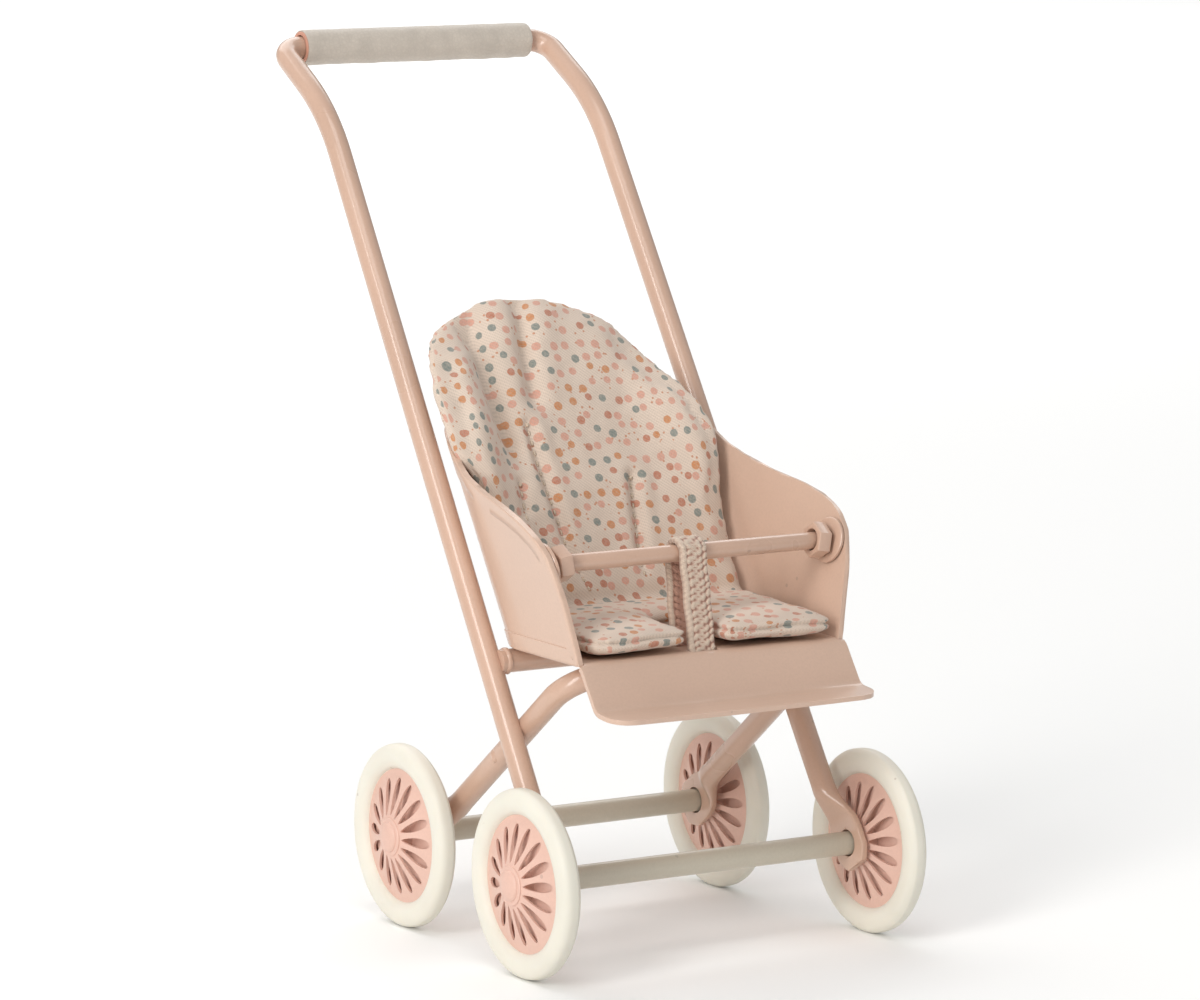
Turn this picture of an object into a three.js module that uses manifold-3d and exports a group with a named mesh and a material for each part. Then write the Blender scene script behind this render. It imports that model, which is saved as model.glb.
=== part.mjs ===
// A toy-sized doll stroller: bent-rod frame, sheet-metal bucket seat and four slotted-disc wheels.
// Millimetres. +Z is up, -Y is forward, X is across. The origin is the middle of the footprint, on
// the floor.
import * as THREE from 'three';
import { mergeVertices } from 'three/addons/utils/BufferGeometryUtils.js';
import Module from 'manifold-3d';

const wasm = await Module();
wasm.setup();

// Overall sizes
const overallLength = 109.3; // front of the front tyres to the back of the grip
const gripHeight = 139.95; // grip axis above the floor
const wheelbase = 42.5;
const frontTrackHalf = 32.2; // middle plane of a front wheel from the centre line
const rearTrackInset = 2.2; // rear wheels' middle planes, in from the front wheels'

// Clearances
const touchGap = 0.1; // between fixed metal pieces that touch
const softGap = 0.3; // between a soft piece and its neighbour
const runningGap = 0.1; // wheel on axle, all round
const lugGap = 0.25; // axle in its lugs, all round
const barGap = 0.35; // guard bar in its nuts, all round
const strapGap = 0.15; // strap round a rod
const shellSideGap = 0.7; // seat shell to a handle leg at its foot, seen from the front

// Rods
const rodRadius = 1.9;
const axleRadius = 1.9;
const guardBarRadius = 1.4;
const lugThickness = 1.2;
const lugEyeWall = 1.85; // metal round a lug's bore
const lugInset = 3.65; // middle of a lug from its wheel's middle plane
const lugFlatLength = 11; // how far the flattening runs up a leg
const lugWidening = 1.35; // a flattened rod is this much wider

// Wheels
const wheelRadius = 15;
const tyreDepth = 4.2; // from the tread in to the bore
const tyreHalfWidth = 1.75;
const discThickness = 0.5;
const discFace = 1.15; // outer face of a disc from the wheel's middle plane
const rimSkirt = 0.85; // how far a disc's rim turns in
const slotCount = 16;
const slotInnerMargin = 0.95; // plain disc between the bush and the slots
const slotOuterMargin = 1.5; // plain disc between the slots and the rim's skirt
const slotHalfWidth = 0.85;
const bushWall = 0.75;
const bushFlangeReach = 0.45;
const bushFlangeThickness = 0.4;
const bushInnerEnd = 2.35; // inboard end of the hub bush from the middle plane
const hubCapWall = 0.55;
const hubCapReach = 2.75; // top of the hub cap from the middle plane

// Handle frame
const handleLegSteeper = THREE.MathUtils.degToRad(3.27); // legs, than a line from axle to grip
const handleTopFlatter = THREE.MathUtils.degToRad(23.83); // upper ends, than that line
const handleBendRadius = 34;
const handleLegInset = 5.1; // foot of a leg from its wheel's middle plane
const handleTaper = 1.5; // how much nearer the centre line a leg ends
const gripCornerInside = 1.8; // inside radius of the corners beside the grip
const gripTubeGap = 0.2;
const gripTubeWall = 0.6;
const gripWrap = 0.25;
const gripWrapShorter = 0.2; // at each end, than the tube

// Leg frame, which crosses the handle frame and carries the front of the seat
const legInset = 5.8; // foot of a leg from its wheel's middle plane
const legTopInset = 1.1; // front support's corner, in from the shell's side
const legBendRadius = 7;
const supportRise = 31.7; // both rods under the seat pan above the axles
const frontSupportBehind = 0.65; // behind the front axle
const rearSupportAhead = 1.46; // ahead of the middle of the handle legs

// Seat sheet metal
const sheetThickness = 0.8;
const shellBackOffset = 1.2; // outer face of the back behind the plane of the handle legs
const shellCornerRadius = 7;
const shellBackTop = 92.5; // along the legs from the front axle
const shellBackShoulder = 76; // where the arched top of the back starts
const wingFlare = 0.21; // outward lean of a wing for each millimetre up
const wingCreaseForward = 9; // soft crease of a wing, forward of the plane of the legs
const wingFullFlareForward = 26; // where a wing has its whole lean
const wingCreaseShare = 0.37; // share of the lean that a wing has at its crease
const wingOverhang = 4.1; // front of a wing ahead of the front support
const wingBelowPan = 0.5; // front bottom corner of a wing, under the pan's top
const footrestRun = 5.1; // steep part of the footrest, front to back
const lipRun = 11.4; // edge of the lip ahead of the wings
const lipDrop = 7.4; // edge of the lip below the seat pan
const lipRise = 0.7; // foot of the steep part above the edge of the lip
const footrestBendRadius = 2.5;
const lipCornerRadius = 3.6;
const panBehindSupport = 4.1;

// Guard bar fittings
const guardBarBehind = 6.7; // behind the front of the wings
const guardBarRise = 15.3; // above the bottom of the wings
const nutWall = 0.8; // thinnest metal round the nut's bore
const nutHeight = 2.4;
const washerBeyondNut = 1.15;
const washerThickness = 0.7;
const nutTilt = THREE.MathUtils.degToRad(9); // nuts lean part of the way that the wings do

// Soft parts
const cushionThickness = 4.5;
const cushionSideThickness = 3;
const cushionSideReach = 9; // sides of the back part, forward of the plane of the legs
const cushionTop = 99.7; // along the legs from the front axle
const cushionShoulder = 80;
const cushionOverhang = 0.9; // front of the cushion ahead of the wings
const cushionFrontCorner = 5;
const strapWidth = 4.9;
const strapThickness = 1.1;
const strapX = -0.8;
const notchDepth = 12.5;

// Sizes and places worked out from the ones above
const rearTrackHalf = frontTrackHalf - rearTrackInset;
const lugEyeRadius = axleRadius + lugGap + lugEyeWall;
const bushRadius = axleRadius + runningGap + bushWall;
const hubCapRadius = axleRadius + touchGap + hubCapWall;
const gripTubeRadius = rodRadius + gripTubeGap + gripTubeWall;
const gripRadius = gripTubeRadius + gripWrap;
const gripCornerRadius = rodRadius + gripCornerInside;
const frontAxle = new THREE.Vector3(0, -overallLength / 2 + wheelRadius, wheelRadius);
const rearAxle = new THREE.Vector3(0, frontAxle.y + wheelbase, wheelRadius);
const gripAxis = new THREE.Vector3(0, overallLength / 2 - gripRadius, gripHeight);
const axleToGrip = Math.atan2(gripAxis.y - frontAxle.y, gripAxis.z - frontAxle.z);
const handleTilt = axleToGrip - handleLegSteeper;
const handleTopTilt = axleToGrip + handleTopFlatter;
const handleHalfWidthBottom = frontTrackHalf - handleLegInset;
const handleHalfWidthTop = handleHalfWidthBottom - handleTaper;
const shellHalfWidth = handleHalfWidthBottom - rodRadius - shellSideGap;
const panHalfWidth = shellHalfWidth + touchGap;
const legHalfWidthBottom = rearTrackHalf - legInset;
const legHalfWidthTop = shellHalfWidth - legTopInset;
const supportHeight = wheelRadius + supportRise;
const frontSupportY = frontAxle.y + frontSupportBehind;
const rearSupportY = legPlaneY(supportHeight) - rearSupportAhead;
const panBottom = supportHeight + rodRadius + touchGap;
const panTop = panBottom + sheetThickness;
const wingFrontY = frontSupportY - wingOverhang;
const wingBottom = panTop - wingBelowPan;
const wingFlareStart = rodRadius + 2 * softGap;
const footrestFootY = wingFrontY - footrestRun;
const lipFrontY = wingFrontY - lipRun;
const panRearY = rearSupportY + panBehindSupport;
const guardBarY = wingFrontY + guardBarBehind;
const guardBarZ = wingBottom + guardBarRise;
const barBoreRadius = guardBarRadius + barGap;
const nutAcrossFlats = 2 * (barBoreRadius + nutWall);
const washerRadius = nutAcrossFlats / 2 + washerBeyondNut;
const cushionFrontY = wingFrontY - cushionOverhang;
const beyond = overallLength + gripHeight; // reach of blocks that only trim

// Y of the plane through both legs of the handle, at a height.
function legPlaneY(z) {
  return frontAxle.y + (z - frontAxle.z) * Math.tan(handleTilt);
}

const group = new THREE.Group();

const rodSides = 12;
const smallSides = 16;
const wheelSides = 32;

// ---- Helpers ----

// Welds a geometry's vertices, drops empty triangles and turns its faces outwards.
function cleaned(geometry) {
  const bare = geometry.clone();
  bare.deleteAttribute('normal');
  bare.deleteAttribute('uv');
  const welded = mergeVertices(bare, 1e-4);
  const kept = [];
  for (let i = 0; i < welded.index.count; i += 3) {
    const [a, b, c] = [0, 1, 2].map((k) => welded.index.getX(i + k));
    if (a !== b && b !== c && c !== a) kept.push(a, b, c);
  }
  if (signedVolume(welded, kept) < 0) kept.reverse();
  welded.setIndex(kept);
  return welded;
}

function signedVolume(geometry, indices) {
  const [a, b, c] = [new THREE.Vector3(), new THREE.Vector3(), new THREE.Vector3()];
  let volume = 0;
  for (let i = 0; i < indices.length; i += 3) {
    a.fromBufferAttribute(geometry.attributes.position, indices[i]);
    b.fromBufferAttribute(geometry.attributes.position, indices[i + 1]);
    c.fromBufferAttribute(geometry.attributes.position, indices[i + 2]);
    volume += a.dot(b.cross(c)) / 6;
  }
  return volume;
}

function toSolid(geometry) {
  const closed = cleaned(geometry);
  const mesh = new wasm.Mesh({
    numProp: 3,
    vertProperties: new Float32Array(closed.attributes.position.array),
    triVerts: new Uint32Array(closed.index.array),
  });
  return new wasm.Manifold(mesh);
}

function toGeometry(solid) {
  const mesh = solid.getMesh();
  const geometry = new THREE.BufferGeometry();
  const places = new Float32Array(mesh.vertProperties);
  geometry.setAttribute('position', new THREE.BufferAttribute(places, 3));
  geometry.setIndex(new THREE.BufferAttribute(new Uint32Array(mesh.triVerts), 1));
  return geometry;
}

function add(name, geometry, finish, place = new THREE.Vector3(), turn = new THREE.Quaternion()) {
  const shape = cleaned(geometry);
  shape.computeVertexNormals();
  const mesh = new THREE.Mesh(shape, new THREE.MeshStandardMaterial(finish));
  mesh.name = name;
  mesh.position.copy(place);
  mesh.quaternion.copy(turn);
  group.add(mesh);
}

const finishes = {
  framePaint: { color: 0xd9b8a2, roughness: 0.35, metalness: 0.1 },
  sheetPaint: { color: 0xe1c3ad, roughness: 0.4, metalness: 0.1 },
  discPaint: { color: 0xe6b9a6, roughness: 0.5, metalness: 0.1 },
  axlePaint: { color: 0xc9c0b1, roughness: 0.45, metalness: 0.1 },
  tyre: { color: 0xefece0, roughness: 0.55, metalness: 0 },
  gripTube: { color: 0xd8a58c, roughness: 0.6, metalness: 0 },
  gripLeather: { color: 0xc3b8ab, roughness: 0.6, metalness: 0 },
  cotton: { color: 0xddccb8, roughness: 0.9, metalness: 0 },
  knit: { color: 0xd9c3b2, roughness: 0.95, metalness: 0 },
};

// A path that has its own stations, so that long straights take one step and bends take several.
class StationPath extends THREE.Curve {
  constructor(stations) {
    super();
    this.stations = stations;
  }

  between(u, key, target) {
    const place = u * (this.stations.length - 1);
    const index = Math.min(Math.floor(place + 1e-9), this.stations.length - 2);
    return target.lerpVectors(this.stations[index][key], this.stations[index + 1][key], place - index);
  }

  getPoint(u, target = new THREE.Vector3()) {
    return this.between(u, 'point', target);
  }

  getPointAt(u, target) {
    return this.getPoint(u, target);
  }

  getTangent(u, target = new THREE.Vector3()) {
    return this.between(u, 'tangent', target).normalize();
  }

  getTangentAt(u, target) {
    return this.getTangent(u, target);
  }
}

// Stations along straight runs between corners, each inner corner rounded by its radius.
function roundedStations(corners, radii, bendSteps, endStations = []) {
  const direction = (i) => corners[i + 1].clone().sub(corners[i]).normalize();
  const last = corners.length - 1;
  const stations = endStations.map((s) => ({
    point: corners[0].clone().addScaledVector(direction(0), s),
    tangent: direction(0),
  }));
  stations.unshift({ point: corners[0].clone(), tangent: direction(0) });
  for (let i = 1; i < last; i += 1) {
    const [into, out] = [direction(i - 1), direction(i)];
    const angle = into.angleTo(out);
    const radius = radii[i - 1];
    const start = corners[i].clone().addScaledVector(into, -radius * Math.tan(angle / 2));
    const inward = out.clone().addScaledVector(into, -Math.cos(angle)).normalize();
    const steps = bendSteps[i - 1];
    for (let k = 0; k <= steps; k += 1) {
      const turned = (angle * k) / steps;
      stations.push({
        point: start.clone().addScaledVector(into, radius * Math.sin(turned))
          .addScaledVector(inward, radius * (1 - Math.cos(turned))),
        tangent: into.clone().multiplyScalar(Math.cos(turned)).addScaledVector(inward, Math.sin(turned)),
      });
    }
  }
  for (const s of [...endStations].reverse()) {
    stations.push({
      point: corners[last].clone().addScaledVector(direction(last - 1), -s),
      tangent: direction(last - 1),
    });
  }
  stations.push({ point: corners[last].clone(), tangent: direction(last - 1) });
  return stations;
}

function sweptRod(stations, radius) {
  const section = new THREE.Shape();
  section.absarc(0, 0, radius, 0, Math.PI * 2);
  return new THREE.ExtrudeGeometry(section, {
    steps: stations.length - 1,
    curveSegments: rodSides / 2,
    extrudePath: new StationPath(stations),
    bevelEnabled: false,
  });
}

function straightRod(from, to, radius, sides = smallSides) {
  const length = from.distanceTo(to);
  const rod = new THREE.CylinderGeometry(radius, radius, length, sides);
  const lengthways = to.clone().sub(from).normalize();
  rod.applyQuaternion(new THREE.Quaternion().setFromUnitVectors(new THREE.Vector3(0, 1, 0), lengthways));
  const middle = from.clone().add(to).multiplyScalar(0.5);
  return rod.translate(middle.x, middle.y, middle.z);
}

function acrossRod(halfLength, y, z, radius, sides = smallSides) {
  const [left, right] = [-halfLength, halfLength].map((x) => new THREE.Vector3(x, y, z));
  return straightRod(left, right, radius, sides);
}

// A profile of [distance outboard, radius] points, turned about the X axis.
function turned(profile, sides) {
  const points = profile.map(([out, radius]) => new THREE.Vector2(radius, out));
  return new THREE.LatheGeometry(points, sides).rotateZ(-Math.PI / 2);
}

// Extrudes an outline drawn in Y and Z across X, between two values of X.
function acrossExtrusion(outline, fromX, toX, curveSegments = 6) {
  const settings = { depth: toX - fromX, curveSegments, bevelEnabled: false };
  const geometry = new THREE.ExtrudeGeometry(outline, settings);
  const axes = new THREE.Matrix4().makeBasis(
    new THREE.Vector3(0, 1, 0),
    new THREE.Vector3(0, 0, 1),
    new THREE.Vector3(1, 0, 0),
  );
  return geometry.applyMatrix4(axes).translate(fromX, 0, 0);
}

function upExtrusion(outline, fromZ, toZ, curveSegments = 6) {
  const settings = { depth: toZ - fromZ, curveSegments, bevelEnabled: false };
  return new THREE.ExtrudeGeometry(outline, settings).translate(0, 0, fromZ);
}

function box(low, high) {
  const [x, y, z] = [0, 1, 2].map((k) => high[k] - low[k]);
  const centre = [0, 1, 2].map((k) => (high[k] + low[k]) / 2);
  return new THREE.BoxGeometry(x, y, z).translate(...centre);
}

// ---- Frames of rod ----

const legUp = new THREE.Vector3(0, Math.sin(handleTilt), Math.cos(handleTilt));

// The corners of the handle frame's left half, from the front axle to the grip.
function handleCorners() {
  const topLine = new THREE.Vector3(0, Math.sin(handleTopTilt), Math.cos(handleTopTilt));
  const span = gripAxis.clone().sub(frontAxle);
  const cross = legUp.y * topLine.z - legUp.z * topLine.y;
  const lower = (span.y * topLine.z - span.z * topLine.y) / cross;
  const upper = (legUp.y * span.z - legUp.z * span.y) / cross;
  const share = lower / (lower + upper);
  const bend = frontAxle.clone().addScaledVector(legUp, lower);
  bend.x = -THREE.MathUtils.lerp(handleHalfWidthBottom, handleHalfWidthTop, share);
  const foot = frontAxle.clone().setX(-handleHalfWidthBottom);
  return [foot, bend, gripAxis.clone().setX(-handleHalfWidthTop)];
}

// X of the handle's leg axis, on the right side, at a height.
function handleLegX(z) {
  const [foot, bend] = handleCorners();
  return -THREE.MathUtils.mapLinear(z, foot.z, bend.z, foot.x, bend.x);
}

function mirroredCorners(half) {
  const other = half.map((corner) => corner.clone().setX(-corner.x)).reverse();
  return [...half, ...other];
}

// Flattens the last stretch of a leg into a lug that lies outboard of the rod.
function flattenLegEnd(geometry, foot, up, lugX) {
  const position = geometry.attributes.position;
  const side = Math.sign(foot.x);
  const acrossLeg = new THREE.Vector3(0, up.z, -up.y).normalize();
  const point = new THREE.Vector3();
  for (let i = 0; i < position.count; i += 1) {
    point.fromBufferAttribute(position, i);
    const offset = point.clone().sub(foot);
    const along = offset.dot(up);
    if (Math.sign(point.x) === side && along < lugFlatLength) {
      const blend = 1 - THREE.MathUtils.smoothstep(along, lugEyeRadius * 0.8, lugFlatLength);
      const fromAxis = offset.x - up.x * along;
      const flatX = side * lugX + (fromAxis * lugThickness) / (2 * rodRadius);
      const widen = acrossLeg.clone().multiplyScalar(offset.dot(acrossLeg) * (lugWidening - 1) * blend);
      point.add(widen);
      point.x = THREE.MathUtils.lerp(point.x, flatX, blend);
      position.setXYZ(i, point.x, point.y, point.z);
    }
  }
}

// A frame of one bent rod whose two ends are lugs on an axle.
function luggedFrame(half, radii, bendSteps, lugX) {
  const corners = mirroredCorners(half);
  const flatStations = [1, 2, 3, 4].map((k) => (lugFlatLength * k) / 4);
  const bends = [...radii, ...[...radii].reverse()];
  const steps = [...bendSteps, ...[...bendSteps].reverse()];
  const rod = sweptRod(roundedStations(corners, bends, steps, flatStations), rodRadius);
  const up = corners[1].clone().sub(corners[0]).normalize();
  const [left, right] = [corners[0], corners[corners.length - 1]];
  flattenLegEnd(rod, left, up, lugX);
  flattenLegEnd(rod, right, up.clone().setX(-up.x), lugX);
  const eyes = [-1, 1].map((side) => {
    const eyePlate = [side * lugX - lugThickness / 2, side * lugX + lugThickness / 2];
    const ends = eyePlate.map((x) => left.clone().setX(x));
    return toSolid(straightRod(...ends, lugEyeRadius, smallSides));
  });
  const bore = acrossRod(lugX + lugThickness, left.y, left.z, axleRadius + lugGap, smallSides);
  return toSolid(rod).add(eyes[0]).add(eyes[1]).subtract(toSolid(bore));
}

function buildHandleFrame() {
  const lugX = frontTrackHalf - lugInset;
  const frame = luggedFrame(handleCorners(), [handleBendRadius, gripCornerRadius], [5, 6], lugX);
  add('handle_frame', toGeometry(frame), finishes.framePaint);
}

// The two straight legs of the handle, a little larger, to cut what lies against them.
function handleLegCutter() {
  const [foot, bend] = handleCorners();
  const mirror = (corner) => corner.clone().setX(-corner.x);
  const left = toSolid(straightRod(foot, bend, rodRadius + touchGap));
  return left.add(toSolid(straightRod(mirror(foot), mirror(bend), rodRadius + touchGap)));
}

function buildLegFrame() {
  const lugX = rearTrackHalf - lugInset;
  const foot = rearAxle.clone().setX(-legHalfWidthBottom);
  const top = new THREE.Vector3(-legHalfWidthTop, frontSupportY, supportHeight);
  const frame = luggedFrame([foot, top], [legBendRadius], [6], lugX);
  add('leg_frame', toGeometry(frame.subtract(handleLegCutter())), finishes.framePaint);
}

function buildSeatCrossBar() {
  const halfLength = handleLegX(supportHeight) - rodRadius - touchGap;
  add('seat_cross_bar', acrossRod(halfLength, rearSupportY, supportHeight, rodRadius), finishes.framePaint);
}

// ---- Seat ----

// From seat coordinates to the world: across, forward of the plane of the legs, up along the legs.
const forwardNormal = new THREE.Vector3(0, -Math.cos(handleTilt), Math.sin(handleTilt));
const seatAxes = new THREE.Matrix4()
  .makeBasis(new THREE.Vector3(1, 0, 0), forwardNormal, legUp)
  .setPosition(frontAxle);

// How far a wing leans outwards at a height and a distance forward of the plane of the legs.
function flareAt(forward, z) {
  const { mapLinear } = THREE.MathUtils;
  const [start, crease, full] = [wingFlareStart, wingCreaseForward, wingFullFlareForward];
  const nearShare = mapLinear(forward, start, crease, 0, wingCreaseShare);
  const farShare = mapLinear(forward, crease, full, wingCreaseShare, 1);
  const share = forward < wingCreaseForward ? Math.max(0, nearShare) : Math.min(1, farShare);
  return wingFlare * share * Math.max(0, z - wingBottom);
}

// Points of one half of a U section, from the front of the right side to the middle of the back.
function halfSection(halfWidth, back, radius, sideStops) {
  const points = sideStops.map((forward) => new THREE.Vector2(halfWidth, forward));
  const steps = 6;
  for (let k = 0; k <= steps; k += 1) {
    const angle = (Math.PI / 2) * (k / steps);
    points.push(new THREE.Vector2(
      halfWidth - radius * (1 - Math.cos(angle)),
      back + radius * (1 - Math.sin(angle)),
    ));
  }
  points.push(new THREE.Vector2(halfWidth / 3, back));
  return points;
}

function mirroredRun(half) {
  return [...half, ...[...half].reverse().map((p) => new THREE.Vector2(-p.x, p.y))];
}

// A closed loop in a cut square to the legs, run up along them.
function alongLegs(loop, fromUp, toUp, steps) {
  const settings = { depth: toUp - fromUp, steps, bevelEnabled: false };
  const geometry = new THREE.ExtrudeGeometry(new THREE.Shape(loop), settings);
  return geometry.translate(0, 0, fromUp).applyMatrix4(seatAxes);
}

// A U of sheet or padding between an outer and an inner section.
function uSolid(outerHalf, innerHalf, fromUp, toUp, steps) {
  return alongLegs([...mirroredRun(outerHalf), ...mirroredRun(innerHalf).reverse()], fromUp, toUp, steps);
}

// The space inside the shell, kept a gap away from its sheet.
function shellInterior(gap) {
  const inset = sheetThickness + gap;
  const half = halfSection(
    shellHalfWidth - inset,
    -shellBackOffset + inset,
    shellCornerRadius - inset,
    [beyond],
  );
  return toSolid(alongLegs(mirroredRun(half), 0, beyond, 1));
}

// A block in front view, arched at the top, run through the seat square to the plane of the legs.
function archBlock(halfWidth, shoulder, top) {
  const outline = new THREE.Shape();
  const wide = halfWidth * 1.4;
  outline.moveTo(-wide, 0);
  outline.lineTo(wide, 0);
  outline.lineTo(wide, shoulder);
  outline.lineTo(halfWidth, shoulder);
  outline.absellipse(0, shoulder, halfWidth, top - shoulder, 0, Math.PI);
  outline.lineTo(-wide, shoulder);
  const settings = { depth: 2 * beyond, curveSegments: 14, bevelEnabled: false };
  const geometry = new THREE.ExtrudeGeometry(outline, settings).translate(0, 0, -beyond);
  const upright = new THREE.Matrix4().makeBasis(new THREE.Vector3(1, 0, 0), legUp, forwardNormal);
  return geometry.applyMatrix4(upright.setPosition(frontAxle));
}

// Side view of the shell: a wing's edge, then a space behind it that leaves the back whole.
function wingOutline() {
  const front = (behind, rise) => [wingFrontY + behind, wingBottom + rise];
  const rear = (ahead, rise) => [legPlaneY(wingBottom + rise) - ahead, wingBottom + rise];
  const outline = new THREE.Shape();
  outline.moveTo(...front(0, 0));
  outline.lineTo(...front(2, 12.8));
  outline.bezierCurveTo(...front(3.4, 19.2), ...front(7.6, 21.2), ...front(16.8, 23.1));
  outline.bezierCurveTo(...front(23.1, 24.4), ...rear(11.3, 25.4), ...rear(7.6, 27.6));
  outline.bezierCurveTo(...rear(4.9, 29.3), ...rear(4.6, 32.5), ...rear(4.8, 37));
  outline.lineTo(...rear(6.4, 51));
  outline.lineTo(...rear(-15, 51));
  outline.lineTo(...rear(-12, 0.8));
  return outline;
}

function shellWidthAt(y, z) {
  const forward = new THREE.Vector3(0, y, z).sub(frontAxle).dot(forwardNormal);
  return shellHalfWidth + flareAt(forward, z);
}

function flaredShell(geometry) {
  const position = geometry.attributes.position;
  const point = new THREE.Vector3();
  for (let i = 0; i < position.count; i += 1) {
    point.fromBufferAttribute(position, i);
    const forward = point.clone().sub(frontAxle).dot(forwardNormal);
    position.setX(i, point.x + Math.sign(point.x) * flareAt(forward, point.z));
  }
  return geometry;
}

function buildSeatShell() {
  const sideStops = [38, 26, 20, 14, 9];
  const outer = halfSection(shellHalfWidth, -shellBackOffset, shellCornerRadius, sideStops);
  const inner = halfSection(
    shellHalfWidth - sheetThickness,
    -shellBackOffset + sheetThickness,
    shellCornerRadius - sheetThickness,
    sideStops,
  );
  const lowest = 15;
  const highest = shellBackTop + 7.5;
  const bent = flaredShell(uSolid(outer, inner, lowest, highest, 9));
  const sideBlock = acrossExtrusion(wingOutline(), -2 * shellHalfWidth, 2 * shellHalfWidth, 8);
  const arch = archBlock(shellHalfWidth, shellBackShoulder, shellBackTop);
  const shell = toSolid(bent).intersect(toSolid(sideBlock)).intersect(toSolid(arch));
  add('seat_shell', toGeometry(shell), finishes.sheetPaint);
}

// The pan's side view: level under the cushion, steep at the front, then a lip that flares out.
function panOutline() {
  const middle = panTop - sheetThickness / 2;
  const corners = [
    [panRearY, middle],
    [wingFrontY - softGap, middle],
    [footrestFootY, middle - lipDrop + lipRise],
    [lipFrontY, middle - lipDrop],
  ].map(([y, z]) => new THREE.Vector3(0, y, z));
  const radii = [footrestBendRadius, footrestBendRadius];
  const stations = roundedStations(corners, radii, [5, 5]);
  const edge = (side) => stations.map(({ point, tangent }) => new THREE.Vector2(
    point.y - (side * tangent.z * sheetThickness) / 2,
    point.z + (side * tangent.y * sheetThickness) / 2,
  ));
  return new THREE.Shape([...edge(1), ...edge(-1).reverse()]);
}

// The pan from above: between the wings it is narrower, and the lip's corners are round.
function panPlan() {
  const narrow = shellHalfWidth - sheetThickness - touchGap;
  const lipCorner = new THREE.Vector2(panHalfWidth - lipCornerRadius, lipFrontY + lipCornerRadius);
  const plan = new THREE.Shape();
  plan.moveTo(-narrow, panRearY);
  plan.lineTo(-narrow, wingFrontY - touchGap);
  plan.lineTo(-panHalfWidth, wingFrontY - touchGap);
  plan.lineTo(-panHalfWidth, lipFrontY + lipCornerRadius);
  plan.absarc(-lipCorner.x, lipCorner.y, lipCornerRadius, Math.PI, 1.5 * Math.PI);
  plan.absarc(lipCorner.x, lipCorner.y, lipCornerRadius, 1.5 * Math.PI, 2 * Math.PI);
  plan.lineTo(panHalfWidth, wingFrontY - touchGap);
  plan.lineTo(narrow, wingFrontY - touchGap);
  plan.lineTo(narrow, panRearY);
  return plan;
}

function buildSeatPan() {
  const sheet = toSolid(acrossExtrusion(panOutline(), -panHalfWidth, panHalfWidth));
  const plan = toSolid(upExtrusion(panPlan(), 0, 2 * panTop, 5));
  const ahead = toSolid(box([-beyond, -beyond, 0], [beyond, wingFrontY - touchGap, beyond]));
  const room = shellInterior(touchGap).add(ahead);
  const pan = sheet.intersect(plan).intersect(room).subtract(strapSolid(softGap));
  add('seat_pan', toGeometry(pan), finishes.sheetPaint);
}

// ---- Guard bar ----

// The outward normal of the right wing at the guard bar.
function wingNormal() {
  const step = 1;
  const width = (y, z) => shellWidthAt(guardBarY + y, guardBarZ + z);
  const behind = width(step, 0) - width(-step, 0);
  const above = width(0, step) - width(0, -step);
  return new THREE.Vector3(2 * step, -behind, -above).normalize();
}

function hexNutOutline() {
  const hex = new THREE.Shape();
  const reach = nutAcrossFlats / Math.sqrt(3);
  for (let k = 0; k < 6; k += 1) {
    const angle = (Math.PI / 3) * (k + 0.5);
    const corner = [reach * Math.cos(angle), reach * Math.sin(angle)];
    if (k === 0) hex.moveTo(...corner);
    else hex.lineTo(...corner);
  }
  hex.holes.push(new THREE.Path().absarc(0, 0, barBoreRadius, 0, 2 * Math.PI));
  return hex;
}

function buildGuardBar() {
  const washerOuter = shellWidthAt(guardBarY, guardBarZ) - sheetThickness - softGap;
  const washerInner = washerOuter - washerThickness;
  const nutAxis = new THREE.Vector3(Math.cos(nutTilt), 0, -Math.sin(nutTilt));
  const skew = wingNormal().angleTo(nutAxis);
  const nutOuter = washerInner - touchGap - (nutAcrossFlats / Math.sqrt(3)) * Math.tan(skew);
  const bar = acrossRod(nutOuter - touchGap, guardBarY, guardBarZ, guardBarRadius);
  add('guard_bar', bar, finishes.framePaint);
  const washerEdge = 0.25;
  const washer = turned([
    [0, barBoreRadius],
    [washerThickness, barBoreRadius],
    [washerThickness, washerRadius],
    [washerEdge, washerRadius],
    [0, washerRadius - 2 * washerEdge],
    [0, barBoreRadius],
  ], smallSides);
  const nut = acrossExtrusion(hexNutOutline(), -nutHeight / 2, nutHeight / 2, 6);
  const outboard = new THREE.Vector3(1, 0, 0);
  for (const [side, name] of [[-1, 'left'], [1, 'right']]) {
    const at = (x) => new THREE.Vector3(side * x, guardBarY, guardBarZ);
    const mirrored = new THREE.Vector3(side, 1, 1);
    const seat = new THREE.Quaternion().setFromUnitVectors(outboard, wingNormal().multiply(mirrored));
    const lean = new THREE.Quaternion().setFromUnitVectors(outboard, nutAxis.clone().multiply(mirrored));
    add(`bar_nut_${name}`, nut, finishes.framePaint, at(nutOuter - nutHeight / 2), lean);
    add(`bar_washer_${name}`, washer, finishes.framePaint, at(washerInner), seat);
  }
}

// ---- Grip ----

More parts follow.
